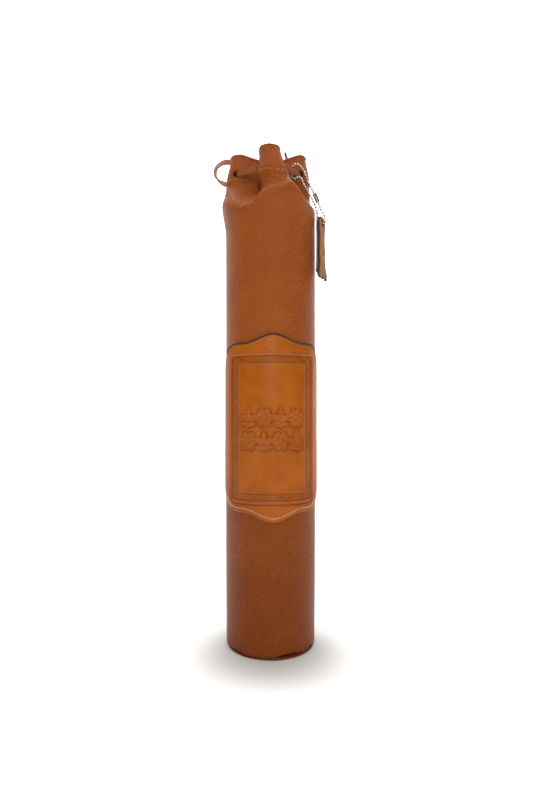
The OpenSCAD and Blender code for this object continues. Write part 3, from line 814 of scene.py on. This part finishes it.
def body_radius(azimuth, z):
    """The straight part of the sleeve: a little uneven, narrower at the bottom, with a seam behind."""
    a = np.radians(azimuth)
    uneven = wobble((3 * a + z * 0.021, 1), (5 * a - z * 0.034 + 1, 0.8),
                    (2 * a + z * 0.055 + 2, 0.9), (11 * a + z * 0.11, 0.3))
    r = SLEEVE_R - 0.22 * (0.5 - 0.5 * uneven) - 0.4 * smooth((90 - z) / 95)
    from_seam = turn_from(azimuth, SEAM_AZIMUTH + SEAM_LAP)
    seam = 0.45 * smooth(from_seam / 0.7 + 0.5) * (1 - smooth((from_seam - 0.8) / 9))
    return r - seam + shoulder_swell(azimuth, z)


def bottom_edge(azimuth):
    """How far the sleeve's bottom edge is lifted and drawn in, mostly at the right of the front."""
    lift = 2.0 * smooth((azimuth - 2) / 17) * (1 - smooth((azimuth - 26) / 24))
    lift = lift + 2.1 * bell(azimuth - 62, 5) + 0.9 * bell(azimuth - 308, 13)
    pinch = 0.5 * bell(azimuth - 49, 6) + 0.25 * bell(azimuth - 20, 12)
    return lift, pinch + 0.3 * bell(azimuth - 305, 14)


def make_sleeve():
    azimuth = np.mod(C_LINE + NECK_TWIST, 360)
    half = LEATHER_T / 2
    low = BASE_T + 0.05
    lift, pinch = bottom_edge(azimuth)
    outer, inner = [], []
    for r_in, z in ((TURN_IN, 0.0), (1.0, 0.0), (0.55, 0.12), (0.2, 0.45), (0.0, 1.0)):
        fade = 1 - z / 9
        r = body_radius(azimuth, low + z) - r_in - pinch * fade
        rise = lift * (fade - 0.85 * r_in / TURN_IN)
        inner_r = r - LEATHER_T * (r_in < TURN_IN)
        outer.append(cylinder_point(azimuth, r, low + z + rise))
        inner.append(cylinder_point(azimuth, inner_r, low + LEATHER_T + z * 0.3 + rise))
    levels = np.concatenate([np.linspace(low + 2, low + 14, 9), np.linspace(low + 18, NECK_Z - 9, 58)])
    for z in levels:
        fade = max(0.0, 1 - (z - low) / 9) ** 1.5
        r = body_radius(azimuth, z) - pinch * fade
        outer.append(cylinder_point(azimuth, r, z + lift * fade))
        inner.append(cylinder_point(azimuth, r - LEATHER_T, z + lift * fade))
    c, h, keep = punched_grid(np.linspace(NECK_Z - JOIN_H, RIM_H - 1.2, 104))
    face = leather_face(c, h)
    n, upward = normal_of(leather_face, c, h)
    # Below the gather the leather joins the straight part.
    joined = smooth((h - (NECK_Z - JOIN_H)) / JOIN_H)[..., None]
    straight_r = body_radius(np.mod(c + NECK_TWIST, 360), np.minimum(h, NECK_Z - 0.1)) - half
    straight = cylinder_point(c + NECK_TWIST, straight_r, h)
    face = straight * (1 - joined) + face * joined
    fold_in = -half - RIM_FOLD * smooth((h - (RIM_H - 2.9)) / 0.5)
    outer += list(face + n * half)
    inner += list(face + n * fold_in[..., None])
    top, top_n, top_up = face[-1], n[-1], upward[-1]
    for t in np.radians([18, 36, 54, 72, 90]):
        middle = top + top_up * LEATHER_T * math.sin(t) - top_n * RIM_FOLD / 2
        across = top_n * (half + RIM_FOLD / 2) * math.cos(t)
        outer.append(middle + across)
        inner.append(middle - across)
    whole = np.ones((len(outer) - 1, COLUMNS), bool)
    first = len(levels) + 5
    whole[first:first + len(keep)] = keep
    obj = shell("sleeve_leather", np.array(outer), np.array(inner), whole, True,
                ["sleeve", "lining", "edge"], rim=9)
    dress(obj, "case", "sleeve_leather", "sleeve")


def make_facing():
    c, h, keep = punched_grid(np.linspace(FACING_LOW_H, RIM_H - 2.7, 46))
    near = -LEATHER_T / 2 - 0.08
    outer, inner = (leather(c, h, np.full(c.shape, out)) for out in (near, near - FACING_T))
    obj = shell("mouth_facing_strip", outer, inner, keep, True, ["edge", "lining", "edge"])
    dress(obj, "case", "facing_leather", "mouth_facing")


def make_hem_stitches():
    a, b = stitch_spans(round(2 * math.pi * R_MID / STITCH_PITCH), 360, 0.2)
    for name, height in (("hem_stitching_upper", HEM_UPPER_H), ("hem_stitching_lower", HEM_LOWER_H)):
        # In the tight bottom of each valley the thread stays under the leather.
        nearest = np.minimum(np.hypot(*gathered(a).T), np.hypot(*gathered(b).T))
        start, end = (x[nearest > VALLEY_R + 1.2] for x in (a, b))
        h = np.full(len(start), height)
        out = np.full(len(start), LEATHER_T / 2 + THREAD_D * 0.12)
        n, _ = normal_of(leather_face, (start + end) / 2, h)
        thread_ends = leather(start, h, out), leather(end, h, out)
        obj = stitches(name + "_thread", *thread_ends, n, THREAD_D * 1.05, "tan_thread")
        dress(obj, "case", "cream_thread", name)


def make_seam_stitches():
    pitch, low = 3.0, 12.0
    count = int((NECK_Z - 4 - low) // pitch)
    azimuth = np.full(count, SEAM_AZIMUTH)

    def at(z):
        return cylinder_point(azimuth, body_radius(azimuth, z) + THREAD_D * 0.3, z)

    a, b = (at(low + rise) for rise in stitch_spans(count, count * pitch))
    n = cylinder_point(azimuth, 1.0, 0.0)
    obj = stitches("back_seam_thread", a, b, n, THREAD_D * 1.15, "cream")
    dress(obj, "case", "cream_thread", "back_seam_stitching")
    r = SLEEVE_R - TURN_IN + 1.4
    z = BASE_T + LEATHER_T + 0.06 + THREAD_D / 2
    a, b = (cylinder_point(turn, r, z) for turn in stitch_spans(round(2 * math.pi * r / pitch), 360))
    n = np.broadcast_to(UP, a.shape)
    obj = stitches("base_seam_thread", a, b, n, THREAD_D, "cream", arch=0.0)
    dress(obj, "case", "cream_thread", "base_seam_stitching")


def make_base_disc():
    """The round base piece, a little smaller than the sleeve's bottom and rounded along its edge."""
    profile = [[26.0, 0.0], [28.8, 0.02], [29.5, 0.16], [29.9, 0.5], [30.0, 0.9], [29.85, 1.3],
               [29.4, 1.46], [26.0, BASE_T]]
    turns = np.arange(180) * 2.0
    rings = []
    for r, z in profile:
        uneven = 0.12 * wobble((np.radians(turns * 3), 1), (np.radians(turns * 7) + 1, 0.6)) * (r > 28)
        rings.append(cylinder_point(turns, r + uneven, z))
    faces = skin_faces(len(rings), len(turns))
    obj = new_object("base_disc_leather", np.vstack(rings), faces, ["base"])
    dress(obj, "case", "base_leather", "base_disc")


# ---------------------------------------------------------------- front patch

PATCH_OUT = PATCH_IN + PATCH_T
PATCH_HALF = math.radians(PATCH_HALF_ANGLE) * PATCH_OUT
# Half width and half height of the pressed frame and of the panel in it, and where their middle is.
FRAME_HALF = (31.5, 47.6)
PANEL_HALF = (23.8, 41.7)
FIELD_X = -0.7
FIELD_Z = -0.3
STITCH_MARGIN = 2.8
SIDE_STITCH_MARGIN = 3.7
SCROLL_PITCH = 8.2
# The flower and sprig stamps: their middles across and up the patch, and the flowers' radius.
STAMP_X = (-16.4, -5.5, 5.4, 16.3)
STAMP_Z = (6.9, -8.1)
FLOWER_R = 6.0


def patch_edge(x, inset=0.0):
    """Half height of the patch at distance x along the sleeve, or of a line inset from its edge."""
    r = PATCH_CORNER - inset
    short = np.clip(r - (PATCH_HALF - inset - np.abs(x)), 0, r)
    corner = r - np.sqrt(np.maximum(0, r**2 - short**2))
    return PATCH_H / 2 - inset - corner + PATCH_RISE * (1 - smooth(np.abs(x) / PATCH_RISE_REACH))


def on_patch(x, z, r):
    return cylinder_point(PATCH_AZIMUTH + np.degrees(x / PATCH_OUT), r, PATCH_Z + z)


def box_distance(x, z, half, r):
    """Signed distance to a rectangle with round corners: negative inside."""
    qx, qz = np.abs(x) - half[0] + r, np.abs(z) - half[1] + r
    return np.hypot(np.maximum(qx, 0), np.maximum(qz, 0)) + np.minimum(np.maximum(qx, qz), 0) - r


def rosette(x, z):
    """A six-petalled flower stamp: signed distance and the pressed lines inside it."""
    r = FLOWER_R
    radius, angle = np.hypot(x, z), np.arctan2(z, x)
    petals = np.abs(np.cos(3 * angle))
    d = radius - r * (0.66 + 0.34 * petals**0.7)
    between = bell(1 - petals, 0.2) * smooth((radius - 0.35 * r) / 1.2)
    return d * 0.8, 0.3 * bell(radius - 0.3 * r, 0.35) + 0.26 * between


def leaf(x, z, foot, angle, length, width):
    a = math.radians(angle)
    u = (x - foot[0]) * math.cos(a) + (z - foot[1]) * math.sin(a)
    v = -(x - foot[0]) * math.sin(a) + (z - foot[1]) * math.cos(a)
    t = np.clip(u / length, 0, 1)
    half = width / 2 * np.power(np.sin(math.pi * t**0.8), 0.8)
    beyond = np.maximum(np.maximum(-u, u - length), 0)
    d = np.hypot(np.maximum(np.abs(v) - half, 0), beyond) + np.minimum(np.abs(v) - half, 0)
    vein = 0.24 * bell(v, 0.3) * smooth(t / 0.15) * smooth((0.9 - t) / 0.1)
    return d, vein


def sprig(x, z):
    """A sprig of five leaves on a short stem."""
    best, lines = leaf(x, z, (0, -1.0), 90, 8.0, 3.6)
    others = (((0.3, -2.2), 38, 6.4, 3.0), ((-0.3, -2.2), 142, 6.4, 3.0), ((0.3, -4.6), 10, 5.2, 2.6),
              ((-0.3, -4.6), 170, 5.2, 2.6), ((0, -7.0), 90, 6.5, 0.9))
    for foot, angle, length, width in others:
        d, vein = leaf(x, z, foot, angle, length, width)
        lines = np.where(d < best, vein, lines)
        best = np.minimum(best, d)
    return best, lines


def ornament(x, z):
    """Two rows of flower and sprig stamps, raised, with a pressed outline."""
    best = np.full(np.broadcast(x, z).shape, 9.0)
    lines = np.zeros(best.shape)
    for row, stamp_z in enumerate(STAMP_Z):
        for column, stamp_x in enumerate(STAMP_X):
            stamp = rosette if (row + column) % 2 else sprig
            d, inner = stamp(x - stamp_x, z - stamp_z)
            lines = np.where(d < best, inner, lines)
            best = np.minimum(best, d)
    raised = 0.62 * smooth(0.45 - best / 1.6)
    outline = 0.42 * bell(best - 0.7, 0.5)
    return raised - outline - 1.5 * lines * smooth(-best / 0.5), outline + 0.8 * lines * (best < 0)


def border_scroll(x, z, inside_frame, outside_panel):
    """A faint running scroll pressed into the border, worn away in places."""
    sideways = (np.abs(z) - PANEL_HALF[1]) < (np.abs(x) - PANEL_HALF[0]) * 0.8
    s = np.where(sideways, z, x)
    middle_x, middle_z = ((PANEL_HALF[k] + FRAME_HALF[k]) / 2 for k in (0, 1))
    t = np.where(sideways, np.abs(x) - middle_x, np.abs(z) - middle_z)
    wave = 1.1 * np.sin(2 * math.pi * s / SCROLL_PITCH)
    curl = np.hypot((np.mod(s, SCROLL_PITCH) - SCROLL_PITCH / 2) * 0.9, t - 0.2)
    pattern = bell(t - wave, 0.42) + 0.8 * bell(curl - 1.5, 0.35) + bell(curl, 0.5)
    worn = 0.55 + 0.45 * wobble((x * 0.31 + z * 0.17, 1), (z * 0.23 - x * 0.11 + 1, 1))
    return pattern * worn * smooth((inside_frame - 1.6) / 0.8) * smooth((outside_panel - 1.2) / 0.8)


def patch_relief(x, z):
    """Height of the patch's surface over its plain face, and how hard it was pressed there, 0 to 1,
    which
    darkens it: partly the burnish of the tooling, partly painted shade in the grooves.
    """
    zz = z - FIELD_Z
    x, place = x - FIELD_X, x
    frame_d = box_distance(x, zz, FRAME_HALF, 3.4)
    panel_d = box_distance(x, zz, PANEL_HALF, 0.9)
    slope = (patch_edge(place - 0.2) - patch_edge(place + 0.2)) / 0.4
    margin = (patch_edge(place) - np.abs(z)) / np.hypot(1, slope)
    side = PATCH_HALF - np.abs(place)
    raised, lines = ornament(x, zz)
    inside = smooth(-(panel_d + 1))
    height = 0.36 * bell(frame_d, 0.6) - 0.36 * bell(frame_d + 1.0, 0.45)
    height = height + 0.3 * smooth((0.3 - panel_d) / 1.4) + 0.16 * bell(panel_d + 0.9, 0.8)
    height = height - 0.3 * bell(panel_d - 0.6, 0.45) + raised * inside
    height = height - 0.75 * np.square(np.clip(1 - np.minimum(margin, side) / 1.1, 0, 1))
    pressed_and_shade = 0.75 * bell(frame_d + 1.0, 0.5) + 0.6 * bell(panel_d - 0.6, 0.5) + 1.5 * lines * inside
    for share, depth, dark in (
        # The line round the frame, and a second one along its foot only.
        (bell(frame_d - 1.2, 0.5), 0.26, 0.35),
        (smooth((-zz - 40) / 3) * bell(frame_d - 1.9, 0.5), 0.34, 0.6),
        # The border's band and its scroll.
        (smooth(-(frame_d + 1.0) / 0.8) * smooth((panel_d - 0.6) / 0.8), 0.16, 0.3),
        (border_scroll(x, zz, -frame_d, panel_d), 0.24, 0.45),
        # The groove that the stitches lie in.
        (bell(np.minimum(margin - STITCH_MARGIN, side - SIDE_STITCH_MARGIN), 0.5), 0.2, 0.3),
    ):
        height = height - depth * share
        pressed_and_shade = pressed_and_shade + dark * share
    return height, np.clip(pressed_and_shade, 0, 1)


def patch_place(items, field):
    """Where the points or faces of a mesh lie on the patch: across it, and up from its middle."""
    co = np.zeros(len(items) * 3)
    items.foreach_get(field, co)
    co = co.reshape(-1, 3) / MM
    azimuth = np.degrees(np.arctan2(co[:, 0], -co[:, 1]))
    return np.radians(azimuth - PATCH_AZIMUTH) * PATCH_OUT, co[:, 2] - PATCH_Z


def make_patch():
    ends = PATCH_CORNER * (1 - np.cos(np.radians(np.linspace(0, 90, 80))))
    middle = np.linspace(PATCH_CORNER, 2 * PATCH_HALF - PATCH_CORNER, 190)[1:-1]
    xs = np.concatenate([ends, middle, 2 * PATCH_HALF - ends[::-1]]) - PATCH_HALF
    v = np.linspace(-1, 1, 420)
    x, vv = np.meshgrid(xs, v)
    z = vv * patch_edge(x)
    outer = on_patch(x, z, PATCH_OUT + patch_relief(x, z)[0])
    inner = on_patch(x, z, PATCH_IN)
    keep = np.ones((len(v) - 1, len(xs) - 1), bool)
    slot_names = ["patch", "flesh", "patch_rim", "patch_edge"]
    obj = shell("front_patch_leather", outer, inner, keep, False, slot_names)
    mesh = obj.data
    # Painted shade and the burnish of the tooling in the pressed lines, kept on the points for the
    # material.
    pressed_and_shade = patch_relief(*patch_place(mesh.vertices, "co"))[1]
    attribute = mesh.attributes.new("pressed_and_shade", "FLOAT", "POINT")
    attribute.data.foreach_set("value", pressed_and_shade.astype(np.float32))
    # Along the top only, the edge and a narrow line beside it are dark: partly dark edge paint, partly
    #     painted shadow where the top edge stands off the sleeve.
    slots = np.zeros(len(mesh.polygons), np.int32)
    mesh.polygons.foreach_get("material_index", slots)
    x, z = patch_place(mesh.polygons, "center")
    slots[(slots != 1) & (z > PATCH_H / 2 - 7) & (z > patch_edge(x, 1.0) - 0.02)] = 3
    mesh.polygons.foreach_set("material_index", slots)
    dress(obj, "case", "patch_leather", "front_patch")


def make_patch_stitches():
    half = PATCH_HALF - SIDE_STITCH_MARGIN
    xs = half * np.sin(np.radians(np.linspace(-90, 90, 121)))
    inner = patch_edge(xs, STITCH_MARGIN)
    side = inner[-1]
    line = np.vstack([
        np.column_stack([xs, inner]),
        np.column_stack([np.full(59, half), np.linspace(side, -side, 61)[1:-1]]),
        np.column_stack([xs[::-1], -inner[::-1]]),
        np.column_stack([np.full(60, -half), np.linspace(-side, side, 61)[1:]]),
    ])
    total = running_length(line)[-1]
    a, b = (along(line, place) for place in stitch_spans(round(total / STITCH_PITCH), total))
    surface = PATCH_OUT - 0.02
    n = on_patch((a[:, 0] + b[:, 0]) / 2, -PATCH_Z, 1.0)
    start, end = (on_patch(*x.T, surface) for x in (a, b))
    # Along the top the thread is brown, close to the leather's colour.
    top = a[:, 1] > PATCH_H / 2 - 10
    for name, part, d, material, sink, nodes in (
        ("patch_thread", ~top, THREAD_D * 1.55, "cream", 0.0, ["patch_stitching"]),
        ("patch_top_thread", top, THREAD_D, "brown_thread", 0.12, []),
    ):
        obj = stitches(name, start[part], end[part], n[part], d, material, sink=sink)
        dress(obj, "case", "cream_thread", *nodes)
    pitch, reach = 1.65, PATCH_HALF - 6
    x = np.arange(-reach, reach + 0.01, pitch)
    a = on_patch(x - 0.35, patch_edge(x - 0.35) - 1.5, surface)
    b = on_patch(x + 0.4, patch_edge(x + 0.4) + 0.4, PATCH_OUT - 0.4)
    n = on_patch(x, -PATCH_Z, 1.0)
    obj = stitches("patch_edge_thread", a, b, n, THREAD_D * 1.3, "black", arch=0.5)
    dress(obj, "case", "dark_thread", "patch_edge_stitching")


# ---------------------------------------------------------------- lace

def mix(a, b, t):
    return a + (b - a) * t


# How far from one hole to the next the lace has left the first, and comes to the second.
LEAVES, ARRIVES = 0.13, 0.87


def lace_run(a, b, sag=0.0):
    return [mix(a, b, LEAVES), mix(a, b, 0.5) - UP * sag, mix(a, b, ARRIVES)]


def make_lace():
    sides = ["lace", "flesh"]
    hole = HOLES
    knot_axis = unit(hole[2] - hole[1])
    knot = mix(hole[1], hole[2], 0.5)
    route = [mix(hole[5], hole[6], 0.3), mix(hole[5], hole[6], ARRIVES),
             *lace_run(hole[6], hole[7], 0.3), *lace_run(hole[7], hole[0]),
             *lace_run(hole[0], hole[1], 0.3), mix(hole[1], hole[2], LEAVES), knot - knot_axis * 2.6]
    tilt = [0, 0.16, 1]
    widths = [UP, UP, tilt, tilt, tilt, UP, UP, UP, tilt, tilt, tilt, UP, UP]
    obj, _ = strap("lace_front_run", route, widths, LACE_W, LACE_T, sides)
    dress(obj, "case", "lace_leather", "lace_front")
    route = [knot + knot_axis * 2.6, mix(hole[1], hole[2], ARRIVES), *lace_run(hole[2], hole[3], 0.2),
             mix(hole[3], hole[4], LEAVES), mix(hole[3], hole[4], 0.7)]
    obj, _ = strap("lace_back_run", route, [UP] * len(route), LACE_W, LACE_T, sides)
    dress(obj, "case", "lace_leather", "lace_back")
    # The knot: the lace wound round itself, with one turn crossing over the others.
    across = unit(np.cross(knot_axis, UP))
    turns = np.linspace(0, 2.25 * 2 * math.pi, 30)
    radius = 2.35 + 0.35 * np.sin(turns * 0.5)
    shift = np.interp(turns, [0, turns[-1]], [-1.5, 1.5]) + 0.5 * np.sin(turns * 1.5)
    route = (knot + knot_axis * shift[:, None] + across * (radius * np.cos(turns))[:, None]
             + UP * (radius * np.sin(turns))[:, None])
    obj, _ = strap("lace_knot_turns", route, [knot_axis] * len(route), 2.6, 1.15, sides,
                   spacing=0.5, uneven=0.12)
    dress(obj, "case", "lace_leather", "lace_knot")
    for name, start, points, nodes in (
        ("lace_long_end", [-3.4, 0.4, 2.4], [[14.2, 0.8, 330], [11.6, 1, 335.6], [10.2, 1.2, 340]],
         ["lace_ends"]),
        ("lace_short_end", [-3.7, -0.4, -0.6], [[14.4, -0.8, 324.5], [12.4, -1.2, 329]], []),
    ):
        route = [knot + start, *points]
        obj, _ = strap(name, route, [[0, 1, 0]] * len(route), LACE_W * 0.96, LACE_T, sides)
        dress(obj, "case", "lace_leather", *nodes)


# ---------------------------------------------------------------- ball chain

LINK_R = 0.24
# Out of the tags' face, and across them.
TAG_DIR, TAG_SIDE = cylinder_point(np.array([TAG_AZIMUTH, TAG_AZIMUTH + 90]), 1.0, 0.0)
TAG_SLOT = TAG_DIR * TAG_R + TAG_SIDE * TAG_SHIFT + UP * (TAG_HOLE_Z + 0.6)
# Where the chain's parts meet: two balls beside the lace, and two above the tags.
LACE_LINKS = [[20.2, -14.2, 317.6], [24.8, -9.2, 317.6]]
TAG_LINKS = [[31.2, -11.8, 297], [35, -7.2, 297]]
CHAIN_TOP = [LACE_LINKS[0], [18.2, -12.4, 318.2], [16, -10, 318.2], [14.4, -8.4, 320],
             [14.4, -8.4, 325.6], [15.9, -9.9, 327.6], [18.6, -11.6, 327.2], [22, -10.8, 324],
             LACE_LINKS[1]]
FRONT_STRAND = [LACE_LINKS[0], [22.6, -15, 311.6], [27.2, -14.7, 304], TAG_LINKS[0]]
REAR_STRAND = [LACE_LINKS[1], [27.6, -10.2, 312], [31.2, -9.6, 304.8], TAG_LINKS[1]]
BEHIND_TAGS = TAG_SLOT - TAG_DIR * 2.85
CHAIN_BIGHT = [TAG_LINKS[0], BEHIND_TAGS + UP * 3.6, BEHIND_TAGS, TAG_SLOT, TAG_SLOT + TAG_DIR * 2.8,
               TAG_SLOT + TAG_DIR * 2.2 + UP * 4.6, TAG_LINKS[1]]


def balls_along(route):
    line = open_curve(route, 8)
    total = running_length(line)[-1]
    count = round(total / BALL_PITCH)
    return along(line, total * (np.arange(count) + 0.5) / count)


def ball_mesh(d):
    """One hollow-pressed ball: a sphere with a slight band round its middle."""
    rings, sides = 12, 18
    t = np.radians(np.linspace(0, 180, rings + 1)[1:-1])
    a = np.radians(np.arange(sides) * 360 / sides)
    r = d / 2 * (1 + 0.012 * bell(np.degrees(t) - 90, 12))
    ring = np.stack([np.outer(r * np.sin(t), np.cos(a)), np.outer(r * np.sin(t), np.sin(a)),
                     np.repeat((r * np.cos(t))[:, None], sides, 1)], axis=-1).reshape(-1, 3)
    verts = np.vstack([ring, [[0, 0, d / 2], [0, 0, -d / 2]]])
    faces = [face[::-1] for face in skin_faces(rings - 1, sides, False)]
    top, last = len(ring), len(ring) - sides
    for i in range(sides):
        after = (i + 1) % sides
        faces += [[top, i, after], [top + 1, last + after, last + i]]
    return verts, faces


def ball_chain(name, routes, body, node):
    """Balls along each route, with a short wire link between each two of them."""
    ball, ball_faces = ball_mesh(BALL_D)
    verts, faces = [], []

    def add(v, f):
        start = sum(map(len, verts))
        verts.append(v)
        faces.extend([[start + i for i in face] for face in f])

    for balls in map(balls_along, routes):
        for p in balls:
            add(ball + p, ball_faces)
        for p, q in zip(balls, balls[1:]):
            forward = unit(q - p)
            side = unit(np.cross(forward, [0.31, 0.52, 0.79]))
            up = np.cross(forward, side)
            a = np.radians(np.arange(10) * 36)[:, None]
            ring = (side * np.cos(a) + up * np.sin(a)) * LINK_R
            inset = forward * (BALL_D / 2 - 0.05)
            add(np.vstack([ring + p + inset, ring + q - inset]), skin_faces(2, 10))
    obj = new_object(name, np.vstack(verts), faces, ["metal"])
    dress(obj, body, "chain_metal", node)


def make_chain():
    ball_chain("chain_round_lace", [CHAIN_TOP], "case", "chain_top")
    ball_chain("chain_two_strands", [FRONT_STRAND, REAR_STRAND], "chain", "chain_strands")
    ball_chain("chain_through_tags", [CHAIN_BIGHT], "tags", "chain_bight")


# ---------------------------------------------------------------- tags

def tag_point(s, z, out):
    """A point of the tags: s across, z up from their hole, out from the middle of the leather tag."""
    s, z, out = (x[..., None] for x in np.broadcast_arrays(s, z, out))
    return TAG_DIR * (TAG_R + out) + TAG_SIDE * (TAG_SHIFT + s) + UP * (TAG_HOLE_Z + z)


def tag_grid(left, right, top, bottom, cols, rows, hole_r):
    """Coordinates (s, z) of a hanging piece between four edges, with a round hole at (0, 0)."""
    u, v = np.meshgrid(np.linspace(0, 1, cols), np.linspace(1, 0, rows))
    high, low = top(u), bottom(u)
    z = high - v * (high - low)
    s = left(z) + u * (right(z) - left(z))
    mid_s = (s[:-1, :-1] + s[1:, 1:]) / 2
    mid_z = (z[:-1, :-1] + z[1:, 1:]) / 2
    keep = np.hypot(mid_s, mid_z) > hole_r
    near = np.ones(s.shape, bool)
    for cells in (np.pad(~keep, 1), np.pad(keep, 1)):
        near &= cells[:-1, :-1] | cells[1:, :-1] | cells[:-1, 1:] | cells[1:, 1:]
    r = np.hypot(s, z)
    scale = np.where(near, hole_r / np.maximum(r, 0.2), 1)
    return s * scale, z * scale, keep, u, v


def make_leather_tag():
    low = TAG_TOP - TAG_H
    half = TAG_W / 2
    heights = [low - 2, low, low + 3, -28, -12, TAG_TOP - 5, TAG_TOP]
    widths = [0.98, 0.97, 1.0, 0.78, 0.72, 0.85, 0.52]

    def side(sign):
        def edge(z):
            base = np.interp(z, heights, np.array(widths) * half)
            return sign * (base + 0.35 * wobble((z * 0.9 + sign, 1), (z * 2.3 + 2, 0.6), (z * 0.4, 1)))
        return edge

    def bottom(u):
        return low + 1.1 + 0.9 * wobble((u * 17 + 1, 1), (u * 31, 0.6), (u * 8 + 2, 1))

    def top(u):
        return TAG_TOP - 0.3 - 1.5 * np.square(2 * u - 1) ** 2

    s, z, keep, u, v = tag_grid(side(-1), side(1), top, bottom, 61, 130, TAG_HOLE_D / 2)
    curl = 0.9 * smooth((-z - 14) / 24) * (0.4 + 0.6 * u)
    curl = curl + 0.25 * wobble((z * 0.35 + s * 0.2, 1), (z * 0.8 - s * 0.4, 0.5))
    curl = np.maximum(curl, -0.05)
    edge = np.minimum(np.minimum(u, 1 - u) * TAG_W, np.minimum(v, 1 - v) * TAG_H)
    thick = TAG_T / 2 * (0.72 + 0.28 * smooth(edge / 1.2))
    thick = thick + 0.06 * wobble((s * 2.2 + z, 1), (z * 3.1 - s, 1))
    outer, inner = (tag_point(s, z, curl + side) for side in (thick, -thick))
    # The dark grain side is the tag's back; its cut edges get the same dark colour as painted shade.
    obj = shell("tag_leather_swatch", outer, inner, keep, False, ["tag", "tag_back_and_edge_shade", "tag_back_and_edge_shade"])
    dress(obj, "tags", "tag_leather", "leather_tag")


def make_card():
    w, h = TAG_W - 3, TAG_H - 5
    high = TAG_TOP - 0.8
    out = -TAG_T / 2 - CARD_T / 2 - 0.35

    def flat(value):
        return lambda t: np.full(np.shape(t), value)

    edges = map(flat, (-w / 2, w / 2, high, high - h))
    s, z, keep, u, _ = tag_grid(*edges, 41, 60, TAG_HOLE_D / 2)
    bow = -0.22 * np.square(2 * u - 1) - 0.15 * smooth((-z - 20) / 14)
    outer, inner = (tag_point(s, z, out + bow + side) for side in (CARD_T / 2, -CARD_T / 2))
    obj = shell("paper_card_sheet", outer, inner, keep, False, ["white"] * 3)
    dress(obj, "tags", "white_card", "paper_card")


# ---------------------------------------------------------------- all together

def dress_cad(node, material):
    """Gives a piece that stays as packed its material."""
    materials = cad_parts[node].data.materials
    materials.clear()
    materials.append(MATERIAL[material])


make_studio()
make_sleeve()
make_facing()
make_hem_stitches()
make_seam_stitches()
make_base_disc()
make_patch()
make_patch_stitches()
make_lace()
make_chain()
make_leather_tag()
make_card()
dress_cad("base_board", "board")
dress_cad("core_tube", "tube")
dress_cad("chain_connector", "metal")
